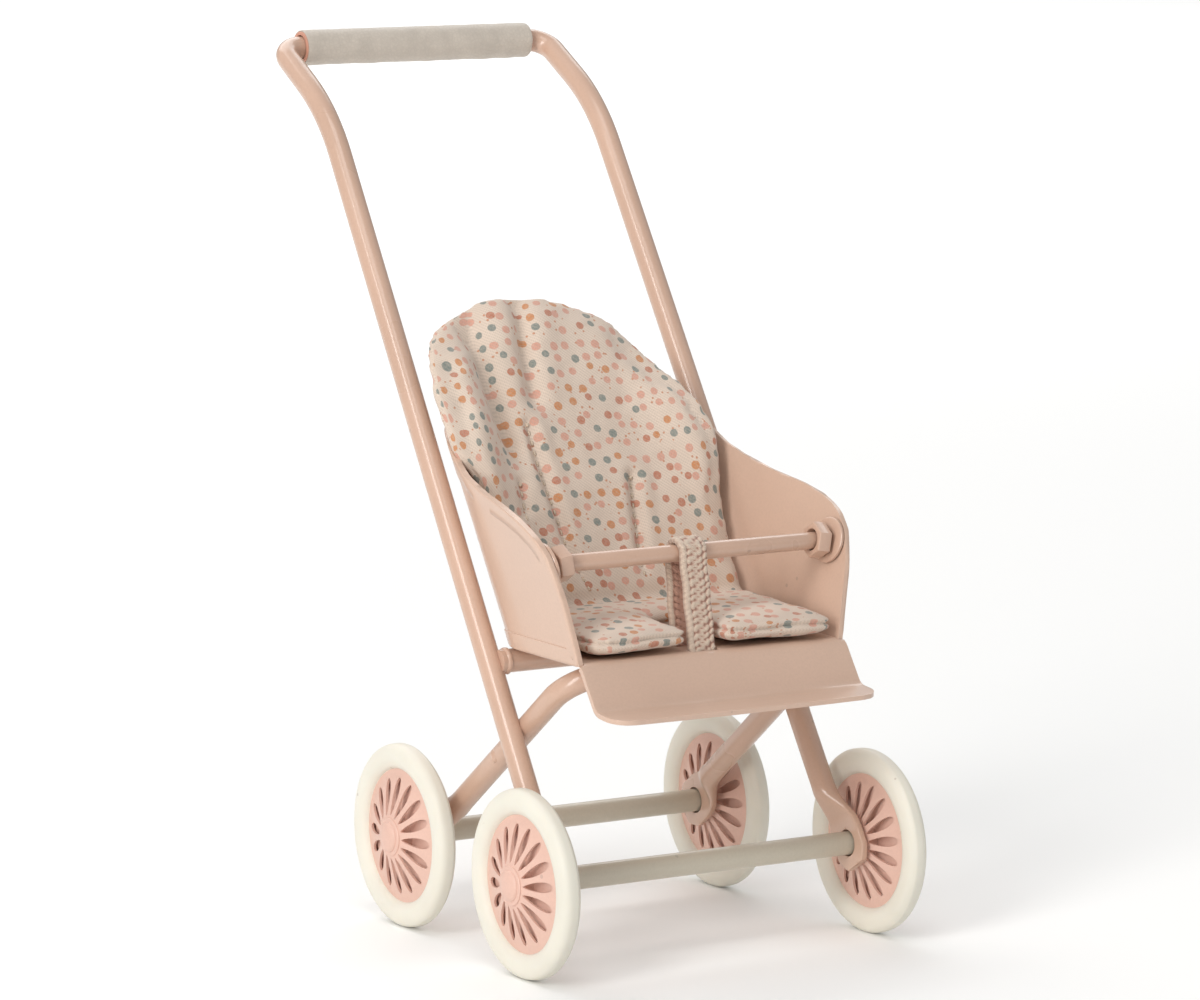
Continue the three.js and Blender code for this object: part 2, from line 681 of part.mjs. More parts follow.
function buildGrip() {
  const halfLength = handleHalfWidthTop - gripCornerRadius;
  const tube = turned([
    [-halfLength, rodRadius + gripTubeGap],
    [halfLength, rodRadius + gripTubeGap],
    [halfLength, gripTubeRadius],
    [-halfLength, gripTubeRadius],
    [-halfLength, rodRadius + gripTubeGap],
  ], smallSides);
  const sleeveEnd = halfLength - gripWrapShorter;
  const sleeve = turned([
    [-sleeveEnd, gripTubeRadius + touchGap / 2],
    [sleeveEnd, gripTubeRadius + touchGap / 2],
    [sleeveEnd, gripRadius],
    [-sleeveEnd, gripRadius],
    [-sleeveEnd, gripTubeRadius + touchGap / 2],
  ], smallSides);
  add('grip_tube', tube, finishes.gripTube, gripAxis);
  add('grip_sleeve', sleeve, finishes.gripLeather, gripAxis);
}

// ---- Wheels ----

function tyreGeometry() {
  const bore = wheelRadius - tyreDepth;
  const half = [
    [tyreHalfWidth - 0.3, bore],
    [tyreHalfWidth, bore + 0.8],
    [tyreHalfWidth - 0.2, wheelRadius - 1.2],
    [0.7, wheelRadius],
  ];
  const mirrored = [...half].reverse().map(([out, radius]) => [-out, radius]);
  return turned([...half, ...mirrored, half[0]], wheelSides);
}

function discGeometry() {
  const rim = wheelRadius - tyreDepth - touchGap;
  const bore = bushRadius + touchGap;
  const plate = turned([
    [discFace - discThickness, bore],
    [discFace - discThickness, rim - discThickness],
    [discFace - rimSkirt, rim - discThickness],
    [discFace - rimSkirt, rim],
    [discFace, rim],
    [discFace, bore],
    [discFace - discThickness, bore],
  ], wheelSides);
  const slotInner = bushRadius + slotInnerMargin;
  const slotOuter = rim - discThickness - slotOuterMargin;
  const widest = THREE.MathUtils.lerp(slotInner, slotOuter, 0.8);
  const petal = new THREE.Shape();
  petal.moveTo(0, slotInner);
  petal.lineTo(slotHalfWidth, widest);
  petal.lineTo(0, slotOuter);
  petal.lineTo(-slotHalfWidth, widest);
  let disc = toSolid(plate);
  for (let k = 0; k < slotCount; k += 1) {
    const cutter = acrossExtrusion(petal, 0, 2 * discFace);
    cutter.rotateX((2 * Math.PI * (k + 0.5)) / slotCount);
    disc = disc.subtract(toSolid(cutter));
  }
  return toGeometry(disc);
}

function bushGeometry() {
  const bore = axleRadius + runningGap;
  const flangeStart = discFace + touchGap;
  const outerEnd = flangeStart + bushFlangeThickness;
  return turned([
    [-bushInnerEnd, bore],
    [outerEnd, bore],
    [outerEnd, bushRadius + bushFlangeReach],
    [flangeStart, bushRadius + bushFlangeReach],
    [flangeStart, bushRadius],
    [-bushInnerEnd, bushRadius],
    [-bushInnerEnd, bore],
  ], smallSides);
}

// Where the axle ends inside its hub cap, outboard of a wheel's middle plane.
const axleEnd = hubCapReach - hubCapWall - 1.5 * touchGap;

function hubCapGeometry() {
  const start = discFace + bushFlangeThickness + 2 * touchGap;
  const profile = [
    [axleEnd + touchGap, 0],
    [axleEnd + touchGap, axleRadius + touchGap],
    [start, axleRadius + touchGap],
    [start, hubCapRadius],
  ];
  const steps = 3;
  for (let k = 0; k <= steps; k += 1) {
    const angle = (Math.PI / 2) * (k / steps);
    const rise = hubCapReach - start - 0.3;
    profile.push([start + 0.3 + rise * Math.sin(angle), hubCapRadius * Math.cos(angle)]);
  }
  profile[profile.length - 1][1] = 0;
  return turned(profile, smallSides);
}

function buildAxle(name, axle, trackHalf) {
  add(`${name}_axle`, acrossRod(trackHalf + axleEnd, axle.y, axle.z, axleRadius), finishes.axlePaint);
}

function buildWheel(name, side, axle, trackHalf) {
  const centre = axle.clone().setX(side * trackHalf);
  const facing = (outwards) => new THREE.Quaternion().setFromAxisAngle(
    new THREE.Vector3(0, 0, 1),
    side * outwards > 0 ? 0 : Math.PI,
  );
  const [outboard, inboard] = [facing(1), facing(-1)];
  add(`${name}_tyre`, tyreGeometry(), finishes.tyre, centre, outboard);
  add(`${name}_disc_outer`, discGeometry(), finishes.discPaint, centre, outboard);
  add(`${name}_disc_inner`, discGeometry(), finishes.discPaint, centre, inboard);
  add(`${name}_hub_bush`, bushGeometry(), finishes.discPaint, centre, outboard);
  add(`${name}_hub_cap`, hubCapGeometry(), finishes.discPaint, centre, outboard);
}

// ---- Soft parts ----

// The strap is a loop round the guard bar and the front rod under the seat pan.
function strapLoop() {
  const topRadius = guardBarRadius + strapGap + strapThickness / 2;
  const bottomRadius = rodRadius + strapGap + strapThickness / 2;
  const around = (y, z, radius, degrees) => {
    const angle = THREE.MathUtils.degToRad(degrees);
    return new THREE.Vector3(0, y + radius * Math.cos(angle), z + radius * Math.sin(angle));
  };
  const overBar = (angle) => around(guardBarY, guardBarZ, topRadius, angle);
  const top = [-8, 40, 90, 140, 188].map(overBar);
  const underRod = (angle) => around(frontSupportY, supportHeight, bottomRadius, angle);
  const bottom = [180, 225, 270, 315, 360].map(underRod);
  const slack = [
    new THREE.Vector3(0, guardBarY + 3.2, panTop + 4),
    new THREE.Vector3(0, guardBarY + 3.9, guardBarZ - 5),
  ];
  return new THREE.CatmullRomCurve3([...top, ...bottom, ...slack], true, 'centripetal');
}

function strapSolid(grow) {
  const loop = strapLoop();
  const count = 44;
  const halfThickness = strapThickness / 2 + grow;
  const edge = (side) => Array.from({ length: count }, (_, k) => {
    const point = loop.getPointAt(k / count);
    const tangent = loop.getTangentAt(k / count);
    return new THREE.Vector2(
      point.y + side * halfThickness * tangent.z,
      point.z - side * halfThickness * tangent.y,
    );
  });
  const outline = new THREE.Shape(edge(1));
  outline.holes.push(new THREE.Path(edge(-1)));
  const halfWidth = strapWidth / 2 + grow;
  return toSolid(acrossExtrusion(outline, strapX - halfWidth, strapX + halfWidth));
}

function buildStrap() {
  add('safety_strap', toGeometry(strapSolid(0)), finishes.knit);
}

// The seat part from above: two front lobes with a notch between them for the strap.
function cushionPlan(halfWidth) {
  const notchHalf = strapWidth / 2 + softGap;
  const corner = cushionFrontCorner;
  const notchCorner = 1.5;
  const cornerY = cushionFrontY + corner;
  const notchCornerX = notchHalf + notchCorner;
  const notchCornerY = cushionFrontY + notchCorner;
  const rear = rearSupportY + 2 * panBehindSupport;
  const plan = new THREE.Shape();
  plan.moveTo(-halfWidth, rear);
  plan.lineTo(-halfWidth, cornerY);
  plan.absarc(-halfWidth + corner, cornerY, corner, Math.PI, 1.5 * Math.PI);
  plan.absarc(strapX - notchCornerX, notchCornerY, notchCorner, -Math.PI / 2, 0);
  plan.lineTo(strapX - notchHalf, cushionFrontY + notchDepth);
  plan.lineTo(strapX + notchHalf, cushionFrontY + notchDepth);
  plan.absarc(strapX + notchCornerX, notchCornerY, notchCorner, Math.PI, 1.5 * Math.PI);
  plan.absarc(halfWidth - corner, cornerY, corner, 1.5 * Math.PI, 2 * Math.PI);
  plan.lineTo(halfWidth, rear);
  return plan;
}

function buildCushion() {
  const halfWidth = shellHalfWidth - sheetThickness - softGap - touchGap;
  const back = -shellBackOffset + sheetThickness + softGap;
  const sides = [cushionSideReach];
  const outerCorner = shellCornerRadius - sheetThickness - softGap;
  const innerCorner = shellCornerRadius - cushionSideThickness;
  const outer = halfSection(halfWidth, back, outerCorner, sides);
  const innerHalfWidth = halfWidth - cushionSideThickness;
  const inner = halfSection(innerHalfWidth, back + cushionThickness, innerCorner, sides);
  const seatBottom = panTop + softGap;
  const seatTop = seatBottom + cushionThickness;
  const backPart = toSolid(uSolid(outer, inner, 0, beyond, 1))
    .intersect(toSolid(archBlock(halfWidth, cushionShoulder, cushionTop)))
    .intersect(toSolid(box([-beyond, -beyond, seatBottom], [beyond, beyond, beyond])));
  const seatPart = toSolid(upExtrusion(cushionPlan(halfWidth), seatBottom, seatTop, 4));
  const inside = seatPart.intersect(shellInterior(softGap));
  const cushion = backPart.add(inside).subtract(strapSolid(softGap));
  add('seat_cushion', toGeometry(cushion), finishes.cotton);
}

buildHandleFrame();
buildLegFrame();
buildSeatCrossBar();
buildSeatShell();
buildSeatPan();
buildGuardBar();
buildGrip();
buildStrap();
buildCushion();
const axles = [['front', frontAxle, frontTrackHalf], ['rear', rearAxle, rearTrackHalf]];
for (const [end, axle, trackHalf] of axles) {
  buildAxle(end, axle, trackHalf);
  buildWheel(`${end}_left`, -1, axle, trackHalf);
  buildWheel(`${end}_right`, 1, axle, trackHalf);
}

export default group;
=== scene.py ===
import math
import bpy
from mathutils import Matrix, Vector, noise


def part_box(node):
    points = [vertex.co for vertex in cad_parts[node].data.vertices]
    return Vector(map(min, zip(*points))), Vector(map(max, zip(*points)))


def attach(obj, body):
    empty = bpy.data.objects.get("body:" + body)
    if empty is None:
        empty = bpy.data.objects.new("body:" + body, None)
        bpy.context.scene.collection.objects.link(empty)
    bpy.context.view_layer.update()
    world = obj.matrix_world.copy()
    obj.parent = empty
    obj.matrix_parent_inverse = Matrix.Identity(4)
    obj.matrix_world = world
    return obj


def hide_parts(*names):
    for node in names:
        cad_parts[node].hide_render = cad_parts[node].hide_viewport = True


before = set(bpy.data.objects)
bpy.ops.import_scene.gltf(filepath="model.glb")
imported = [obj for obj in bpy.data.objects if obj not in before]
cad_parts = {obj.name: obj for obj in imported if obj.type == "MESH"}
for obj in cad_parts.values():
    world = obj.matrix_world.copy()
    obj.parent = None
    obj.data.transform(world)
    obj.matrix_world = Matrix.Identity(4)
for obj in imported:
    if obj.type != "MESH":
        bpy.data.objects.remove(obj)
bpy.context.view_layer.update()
yAxis, zAxis = Vector((0, 1, 0)), Vector((0, 0, 1))
# Pieces are modelled in millimetres, in the frame's own axes, and put away in metres.


# Places taken from the frame.

def nodeMiddle(node):  # middle of a node's box, on the centre line
    low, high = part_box(node)
    return Vector((0, (low.y + high.y) / 2, (low.z + high.z) / 2)) * 1000


def nodeEnds(node):
    low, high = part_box(node)
    middle = nodeMiddle(node)
    return [Vector((x * 1000, middle.y, middle.z)) for x in (low.x, high.x)]


frontAxle, rearAxle = nodeMiddle("front_axle"), nodeMiddle("rear_axle")
guardBar, gripAxis = nodeMiddle("guard_bar"), nodeMiddle("grip_sleeve")
tilt = math.radians(32.9)  # of the long legs and the seat's back
legUp = Vector((0, math.sin(tilt), math.cos(tilt)))
legForward = Vector((0, -math.cos(tilt), math.sin(tilt)))


# Small helpers.

def smooth(low, high, value):
    share = min(1, max(0, (value - low) / (high - low)))
    return share * share * (3 - 2 * share)


def along(table, value):  # straight lines between [place, size] pairs
    for (x0, y0), (x1, y1) in zip(table, table[1:]):
        if value <= x1:
            return y0 + (y1 - y0) * max(0, value - x0) / (x1 - x0)
    return table[-1][1]


def powered(value, power):  # keeps the sign
    return math.copysign(abs(value) ** power, value)


def objectMode():
    if bpy.context.object and bpy.context.object.mode != "OBJECT":
        bpy.ops.object.mode_set(mode="OBJECT")


def only(*pieces):
    objectMode()
    bpy.ops.object.select_all(action="DESELECT")
    for piece in pieces:
        piece.select_set(True)
    bpy.context.view_layer.objects.active = pieces[0]
    return pieces[0]


def edit(piece):  # edit mode with everything selected
    only(piece)
    bpy.ops.object.mode_set(mode="EDIT")
    bpy.ops.mesh.select_all(action="SELECT")


def shape(piece, place):  # moves every vertex to where place says
    objectMode()
    for vertex in piece.data.vertices:
        vertex.co = place(vertex.co.copy())
    piece.data.update()


def modify(piece, kind, **settings):
    only(piece)
    modifier = piece.modifiers.new(kind.title(), kind)
    for key, value in settings.items():
        setattr(modifier, key, value)
    bpy.ops.object.modifier_apply(modifier=modifier.name)


def bevelled(piece, width, segments=3, degrees=30):
    limit = math.radians(degrees)
    modify(piece, "BEVEL", width=width, segments=segments, limit_method="ANGLE", angle_limit=limit)


def facing(direction):
    return Vector(direction).to_track_quat("Z", "Y").to_euler()


def outwards(piece):
    edit(piece)
    bpy.ops.mesh.remove_doubles(threshold=0.002)
    bpy.ops.mesh.normals_make_consistent(inside=False)
    objectMode()


def soften(piece, degrees=35):
    only(piece)
    bpy.ops.object.shade_smooth_by_angle(angle=math.radians(degrees))


def joined(first, *others):
    only(first, *others)
    bpy.ops.object.join()
    return first


def copied(piece, name):
    only(piece)
    bpy.ops.object.duplicate(linked=False)
    other = bpy.context.object
    other.name = name
    return other


def cutBy(piece, cutter):
    modify(piece, "BOOLEAN", object=cutter, operation="DIFFERENCE", solver="EXACT")
    bpy.data.objects.remove(cutter)


def applyPlace(piece):
    only(piece)
    bpy.ops.object.transform_apply(location=True, rotation=True, scale=True)


def putAway(piece, name, paint, slot, body, nodes=()):
    applyPlace(piece)
    edit(piece)
    bpy.ops.transform.resize(value=(0.001, 0.001, 0.001), center_override=(0, 0, 0))
    objectMode()
    piece.name = piece.data.name = name
    piece.data.materials.clear()
    piece.data.materials.append(paint)
    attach(piece, body)
    if nodes:
        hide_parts(*nodes)
    return piece


# Materials, built from sums of sockets.

class Wire:  # a socket that Python sums work on
    def __init__(self, paint, socket):
        self.paint, self.socket = paint, socket

    def sum(self, operation, first, second):
        return self.paint.node("ShaderNodeMath", {"operation": operation}, [first, second])

    def __add__(self, other):
        return self.sum("ADD", self, other)

    def __radd__(self, other):
        return self.sum("ADD", other, self)

    def __sub__(self, other):
        return self.sum("SUBTRACT", self, other)

    def __rsub__(self, other):
        return self.sum("SUBTRACT", other, self)

    def __mul__(self, other):
        return self.sum("MULTIPLY", self, other)

    def __rmul__(self, other):
        return self.sum("MULTIPLY", other, self)

    def __gt__(self, other):
        return self.sum("GREATER_THAN", self, other)

    def __lt__(self, other):
        return self.sum("LESS_THAN", self, other)


class Paint:  # one material and the nodes in it
    def __init__(self, name, **values):
        self.material = bpy.data.materials.new(name)
        self.material.use_nodes = True
        self.tree = self.material.node_tree
        self.shader = self.tree.nodes["Principled BSDF"]
        for key, value in values.items():
            self.set(key, value)

    def node(self, kind, settings, sockets=(), give=0):
        made = self.tree.nodes.new(kind)
        for key, value in settings.items():
            if key == "stops":
                self.setStops(made.color_ramp, value)
            else:
                setattr(made, key, value)
        pairs = sockets.items() if isinstance(sockets, dict) else enumerate(sockets)
        for key, value in pairs:
            self.feed(made.inputs[key], value)
        return Wire(self, made.outputs[give])

    def setStops(self, ramp, stops):
        while len(ramp.elements) < len(stops):
            ramp.elements.new(0.5)
        for element, (place, colour) in zip(ramp.elements, stops):
            element.position = place
            element.color = colour

    def feed(self, socket, value):
        if isinstance(value, Wire):
            self.tree.links.new(value.socket, socket)
        else:
            socket.default_value = value

    def set(self, key, value):
        self.feed(self.shader.inputs[key.replace("_", " ")], value)

    def mix(self, share, first, second, blend="MIX"):
        settings = {"data_type": "RGBA", "blend_type": blend}
        return self.node("ShaderNodeMix", settings, {0: share, 6: first, 7: second}, 2)

    def bump(self, height, strength, distance):
        sockets = {"Strength": strength, "Distance": distance, "Height": height}
        self.set("Normal", self.node("ShaderNodeBump", {}, sockets))

    def noise(self, place, scale, detail=2, roughness=0.5):
        sockets = {"Vector": place, "Scale": scale, "Detail": detail, "Roughness": roughness}
        return self.node("ShaderNodeTexNoise", {}, sockets)

    def voronoi(self, place, scale, settings=None, give=0, **sockets):
        sockets.update({"Vector": place, "Scale": scale})
        return self.node("ShaderNodeTexVoronoi", settings or {}, sockets, give)

    def waves(self, place, scale, direction, distortion, detail=2.0):
        sockets = {"Vector": place, "Scale": scale, "Distortion": distortion, "Detail": detail}
        return self.node("ShaderNodeTexWave", {"bands_direction": direction}, sockets)

    def place(self):
        return self.node("ShaderNodeTexCoord", {}, (), "Object")

    def spread(self, value, low, high, fromLow=0.0, fromHigh=1.0):
        sockets = {"Value": value, "From Min": fromLow, "From Max": fromHigh}
        sockets.update({"To Min": low, "To Max": high})
        return self.node("ShaderNodeMapRange", {}, sockets)

    def mottled(self, cloud, tone, dark, light, high=0.7):
        return self.mix(self.spread(cloud, 0, 1, 0.3, high), shaded(tone, dark), shaded(tone, light))


def colour(red, green, blue):  # from the 0 to 255 values of a colour picker
    def linear(level):
        share = level / 255
        return share / 12.92 if share <= 0.04045 else ((share + 0.055) / 1.055) ** 2.4
    return (linear(red), linear(green), linear(blue), 1)


def shaded(tone, factor):
    return tuple(channel * factor for channel in tone[:3]) + (1,)


def metalPaint(name, tone, roughness, coat, grain):  # sprayed paint: faint orange peel and specks
    paint = Paint(name, Metallic=0.0, IOR=1.5, Coat_Roughness=0.1)
    paint.set("Coat Weight", coat)
    place = paint.place()
    cloud = paint.noise(place, 55, 3)
    grainy = paint.noise(place, 2600, 1)
    speck = paint.voronoi(place, 210)
    mask = (speck < 0.07) * (paint.noise(place, 160, 0) > 0.6)
    base = paint.mottled(cloud, tone, 0.965, 1.035)
    base = paint.mix(paint.spread(grainy, 0, grain, 0.35, 0.75), base, shaded(tone, 0.86))
    base = paint.mix(mask * 0.35, base, shaded(tone, 0.45))
    paint.set("Base Color", base)
    paint.set("Roughness", paint.spread(cloud, roughness - 0.04, roughness + 0.06, 0.3, 0.7))
    paint.bump(paint.noise(place, 700, 2) + grainy * 0.25, 0.05, 0.0004)
    return paint.material


tones = {
    "frame": colour(202, 168, 147),
    "sheet": colour(209, 178, 158),
    "disc": colour(223, 184, 168),
    "axle": colour(196, 188, 171),
    "tyre": colour(227, 223, 210),
    "gripLeather": colour(200, 190, 178),
    "gripTube": colour(205, 150, 128),
    "cotton": colour(219, 201, 185),
    "yarnCream": colour(222, 206, 187),
    "yarnPink": colour(208, 160, 140),
    "floor": colour(250, 250, 249),
}
framePaint = metalPaint("framePaint", tones["frame"], 0.3, 0.5, 0.25)
sheetPaint = metalPaint("sheetPaint", tones["sheet"], 0.34, 0.4, 0.3)
discPaint = metalPaint("discPaint", tones["disc"], 0.48, 0.1, 0.3)
axlePaint = metalPaint("axlePaint", tones["axle"], 0.38, 0.25, 0.3)


def tyreRubber():
    paint = Paint("tyreCream", Roughness=0.5, IOR=1.46)
    paint.set("Subsurface Weight", 0.12)
    paint.set("Subsurface Radius", (0.004, 0.003, 0.002))
    place = paint.place()
    cloud = paint.noise(place, 90, 3)
    speck = paint.voronoi(place, 260)
    mask = (speck < 0.09) * (paint.noise(place, 120, 0) > 0.62)
    base = paint.mottled(cloud, tones["tyre"], 0.96, 1.03)
    paint.set("Base Color", paint.mix(mask * 0.3, base, colour(150, 120, 90)))
    paint.set("Roughness", paint.spread(cloud, 0.44, 0.56, 0.3, 0.7))
    paint.bump(paint.noise(place, 2200, 2), 0.08, 0.0002)
    return paint.material


def gripWrapping():
    paint = Paint("gripLeather", Roughness=0.5)
    place = paint.place()
    cells = paint.voronoi(place, 1500, {"feature": "DISTANCE_TO_EDGE"})
    cloud = paint.noise(place, 260, 4, 0.6)
    tone = tones["gripLeather"]
    base = paint.mottled(cloud, tone, 0.9, 1.06, 0.72)
    # Cell edges, which the bump below sinks into grooves, are mixed towards 0.75 of the tone: painted
    # shade in the grain's hollows.
    base = paint.mix(paint.spread(cells, 0.25, 0, 0, 0.2), base, shaded(tone, 0.75))
    paint.set("Base Color", base)
    paint.set("Roughness", paint.spread(cloud, 0.42, 0.6, 0.3, 0.7))
    paint.bump(paint.spread(cells, 0, 1, 0, 0.25) * 0.5 + cloud, 0.25, 0.0002)
    return paint.material


def gripInner():
    paint = Paint("gripTubePaint", Roughness=0.55)
    place = paint.place()
    cloud = paint.noise(place, 400, 3)
    tone = tones["gripTube"]
    paint.set("Base Color", paint.mix(cloud, shaded(tone, 0.88), shaded(tone, 1.1)))
    paint.bump(cloud, 0.1, 0.0002)
    return paint.material


tyrePaint = tyreRubber()
gripPaint = gripWrapping()
gripTubePaint = gripInner()
print("materials for metal, tyre and grip made")


# Bent rods: the push bar with its long legs, the short legs with the front bar, and the cross bar.

def disc(radius, centre, direction, sides=40):
    bpy.ops.mesh.primitive_circle_add(
        vertices=sides, radius=radius, fill_type="NGON", location=centre, rotation=facing(direction))
    applyPlace(bpy.context.object)
    return bpy.context.object


def pull(move):
    bpy.ops.mesh.extrude_region_move(TRANSFORM_OT_translate={"value": move})


def bentRod(radius, corners, bends, endSteps=0, endLength=0.0, sides=40, bendSteps=14):
    rod = disc(radius, corners[0], corners[1] - corners[0], sides)
    edit(rod)
    here = corners[0].copy()
    last = len(corners) - 1
    for i in range(1, last + 1):
        into = (corners[i] - corners[i - 1]).normalized()
        trim = 0
        if i < last:
            out = (corners[i + 1] - corners[i]).normalized()
            angle = into.angle(out)
            trim = bends[i - 1] * math.tan(angle / 2)
        length = (corners[i] - here).length - trim
        if i == 1:
            for step in range(endSteps):
                pull(into * endLength / endSteps)
            length -= endLength
        if i == last:
            length -= endLength
        pull(into * length)
        if i == last:
            for step in range(endSteps):
                pull(into * endLength / endSteps)
        here = corners[i] - into * trim
        if i < last:
            inward = (out - into * into.dot(out)).normalized()
            bpy.ops.mesh.spin(
                steps=bendSteps, angle=-angle, center=here + inward * bends[i - 1],
                axis=into.cross(out).normalized())
            here = corners[i] + out * trim
    outwards(rod)
    return rod


rods = {
    "radius": 1.9,
    "handleFoot": 27.1, "handleTop": 25.6, "handleBend": 34, "gripCorner": 3.7,
    "topTilt": 60, "legFoot": 24.2, "legTop": 23.4, "legBend": 7,
    "supportHeight": 46.7, "frontSupport": -39, "rearSupport": -20.6,
    "eyeReach": 4.0, "flatReach": 12.0, "flatFrom": 3.4, "roundFrom": 9.5, "plate": 0.6, "bore": 2.2,
    "handleLug": 28.55, "legLug": 26.35, "crossing": 31.1,
}
# half width of a flattened end, by distance up the leg from the axle
eyeOutline = [[-4.0, 2.3], [-3.7, 2.7], [-2.2, 3.75], [-1.6, 4.0], [1.8, 4.0], [3.2, 3.7], [5.0, 2.95],
              [8.0, 2.15], [12.0, 1.9]]


def flattenEnds(rod, foot, up, lugX):
    sideways = Vector((0, up.z, -up.y)).normalized()

    def place(point):
        side = 1 if point.x > 0 else -1
        start = Vector((side * abs(foot.x), foot.y, foot.z))
        lean = -abs(up.x) if foot.x * up.x < 0 else abs(up.x)
        way = Vector((side * lean, up.y, up.z))
        reach = (point - start).dot(way)
        if reach > rods["flatReach"]:
            return point
        offset = point - start - way * reach
        flat = 1 - smooth(rods["flatFrom"], rods["roundFrom"], reach)
        wide, thick = offset.dot(sideways), offset.x
        turn = math.atan2(thick, wide)
        halfWide = along(eyeOutline, reach)
        flatWide = halfWide * powered(math.cos(turn), 1 - 0.72 * flat)
        flatThick = rods["plate"] * powered(math.sin(turn), 1 - 0.8 * flat)
        middle = start.x + way.x * reach
        widened = wide + (flatWide - wide) * max(flat, smooth(rods["flatReach"], 8, reach))
        moved = start + way * reach + sideways * widened
        moved.x = middle + thick + (side * lugX + flatThick - middle - thick) * flat
        return moved

    shape(rod, place)


def luggedRod(half, bends, lugX, axle):
    up = (half[1] - half[0]).normalized()
    foot = half[0]
    left = [foot - up * rods["eyeReach"]] + half[1:]
    right = [Vector((-corner.x, corner.y, corner.z)) for corner in reversed(left)]
    reach = rods["eyeReach"] + rods["flatReach"] + 2
    rod = bentRod(rods["radius"], left + right, bends + list(reversed(bends)), 30, reach, 48)
    flattenEnds(rod, foot, up, lugX)
    bpy.ops.mesh.primitive_cylinder_add(
        vertices=48, radius=rods["bore"], depth=2 * lugX + 6, location=axle, rotation=(0, math.pi / 2, 0))
    cutBy(rod, bpy.context.object)
    bevelled(rod, 0.12, 2, 60)
    return rod


def handleCorners():
    topTilt = math.radians(rods["topTilt"])
    topLine = Vector((0, math.sin(topTilt), math.cos(topTilt)))
    span = gripAxis - frontAxle
    cross = legUp.y * topLine.z - legUp.z * topLine.y
    lower = (span.y * topLine.z - span.z * topLine.y) / cross
    upper = (legUp.y * span.z - legUp.z * span.y) / cross
    bend = frontAxle + legUp * lower
    bend.x = -rods["handleFoot"] + (rods["handleFoot"] - rods["handleTop"]) * lower / (lower + upper)
    foot = Vector((-rods["handleFoot"], frontAxle.y, frontAxle.z))
    return [foot, bend, Vector((-rods["handleTop"], gripAxis.y, gripAxis.z))]


def weldBead(centre, size, direction):  # a small swollen joint between two rods
    bpy.ops.mesh.primitive_ico_sphere_add(
        subdivisions=4, radius=1, location=centre, rotation=facing(direction), scale=size)
    bead = bpy.context.object
    applyPlace(bead)
    middle = Vector(centre)
    shape(bead, lambda point: point + (point - middle).normalized() * 0.12 * noise.noise(point * 1.7))
    return bead


handleLine = handleCorners()
handleBends = [rods["handleBend"], rods["gripCorner"]]
handle = luggedRod(handleLine, handleBends, rods["handleLug"], frontAxle)
legFoot = Vector((-rods["legFoot"], rearAxle.y, rearAxle.z))
legTop = Vector((-rods["legTop"], rods["frontSupport"], rods["supportHeight"]))
legs = luggedRod([legFoot, legTop], [rods["legBend"]], rods["legLug"], rearAxle)


def handleX(z):
    share = (z - handleLine[0].z) / (handleLine[1].z - handleLine[0].z)
    return -handleLine[0].x + share * (handleLine[0].x - handleLine[1].x)


crossHalf = handleX(rods["supportHeight"]) - 0.9
crossEnds = [
    Vector((side * crossHalf, rods["rearSupport"], rods["supportHeight"])) for side in (-1, 1)]
crossBar = bentRod(rods["radius"], crossEnds, [])
legSlope = (legTop - legFoot).normalized()
crossing = legFoot + legSlope * ((rods["crossing"] - legFoot.z) / legSlope.z)
for side in (-1, 1):
    beadSpot = Vector((side * (abs(crossing.x) + 1.35), crossing.y, crossing.z))
    handle = joined(handle, weldBead(beadSpot, (1.0, 1.2, 0.8), (side, 0, 0)))
    beadSpot = (side * (crossHalf - 1.2), rods["rearSupport"], rods["supportHeight"])
    crossBar = joined(crossBar, weldBead(beadSpot, (2.15, 2.15, 1.0), (side, 0, 0)))
for rod in (handle, legs, crossBar):
    soften(rod, 40)
handle = putAway(handle, "handleFrame", framePaint, "frame_paint", "frame", ["handle_frame"])
legs = putAway(legs, "legFrame", framePaint, "frame_paint", "frame", ["leg_frame"])
crossBar = putAway(crossBar, "seatCrossBar", framePaint, "frame_paint", "frame", ["seat_cross_bar"])
print("rods bent and flattened")


# Axles.

axleLook = {"radius": 1.9, "edge": 0.25}


def straightRod(node, radius, edge, sides):
    rod = bentRod(radius, nodeEnds(node), [], sides=sides)
    bevelled(rod, edge)
    soften(rod)
    return rod


for end in ("front", "rear"):
    axle = straightRod(end + "_axle", axleLook["radius"], axleLook["edge"], 48)
    putAway(axle, end + "Axle", axlePaint, "axle_paint", "axle_" + end, [end + "_axle"])
print("axles made")


# Wheels: a tyre, two slotted discs with a web between them, a hub ring and a hub dome.

wheel = {
    "tyreHalfWidth": 1.75, "tyreDepth": 4.15, "radius": 15.0, "rim": 10.95,
    "discThickness": 0.42, "dish": 2.35, "rimFace": 0.5, "bore": 2.5,
    "slots": 16, "slotInner": 3.5, "slotOuter": 9.6, "slotHalfWidth": 0.88,
    "ringRadius": 3.15, "ringBore": 2.05, "domeRadius": 2.5, "domeTop": 3.75,
    "frontTrack": 32.2, "rearTrack": 30,
}


def turnedPiece(profile, steps=96):  # spins an outline of [out, radius] points once round the X axis
    bpy.ops.mesh.primitive_circle_add(vertices=len(profile), radius=1, fill_type="NOTHING")
    ring = bpy.context.object
    for vertex, (out, radius) in zip(ring.data.vertices, profile):
        vertex.co = (out, 0, radius)
    edit(ring)
    bpy.ops.mesh.spin(
        steps=steps, angle=2 * math.pi, center=(0, 0, 0), axis=(1, 0, 0), use_auto_merge=True)
    outwards(ring)
    return ring


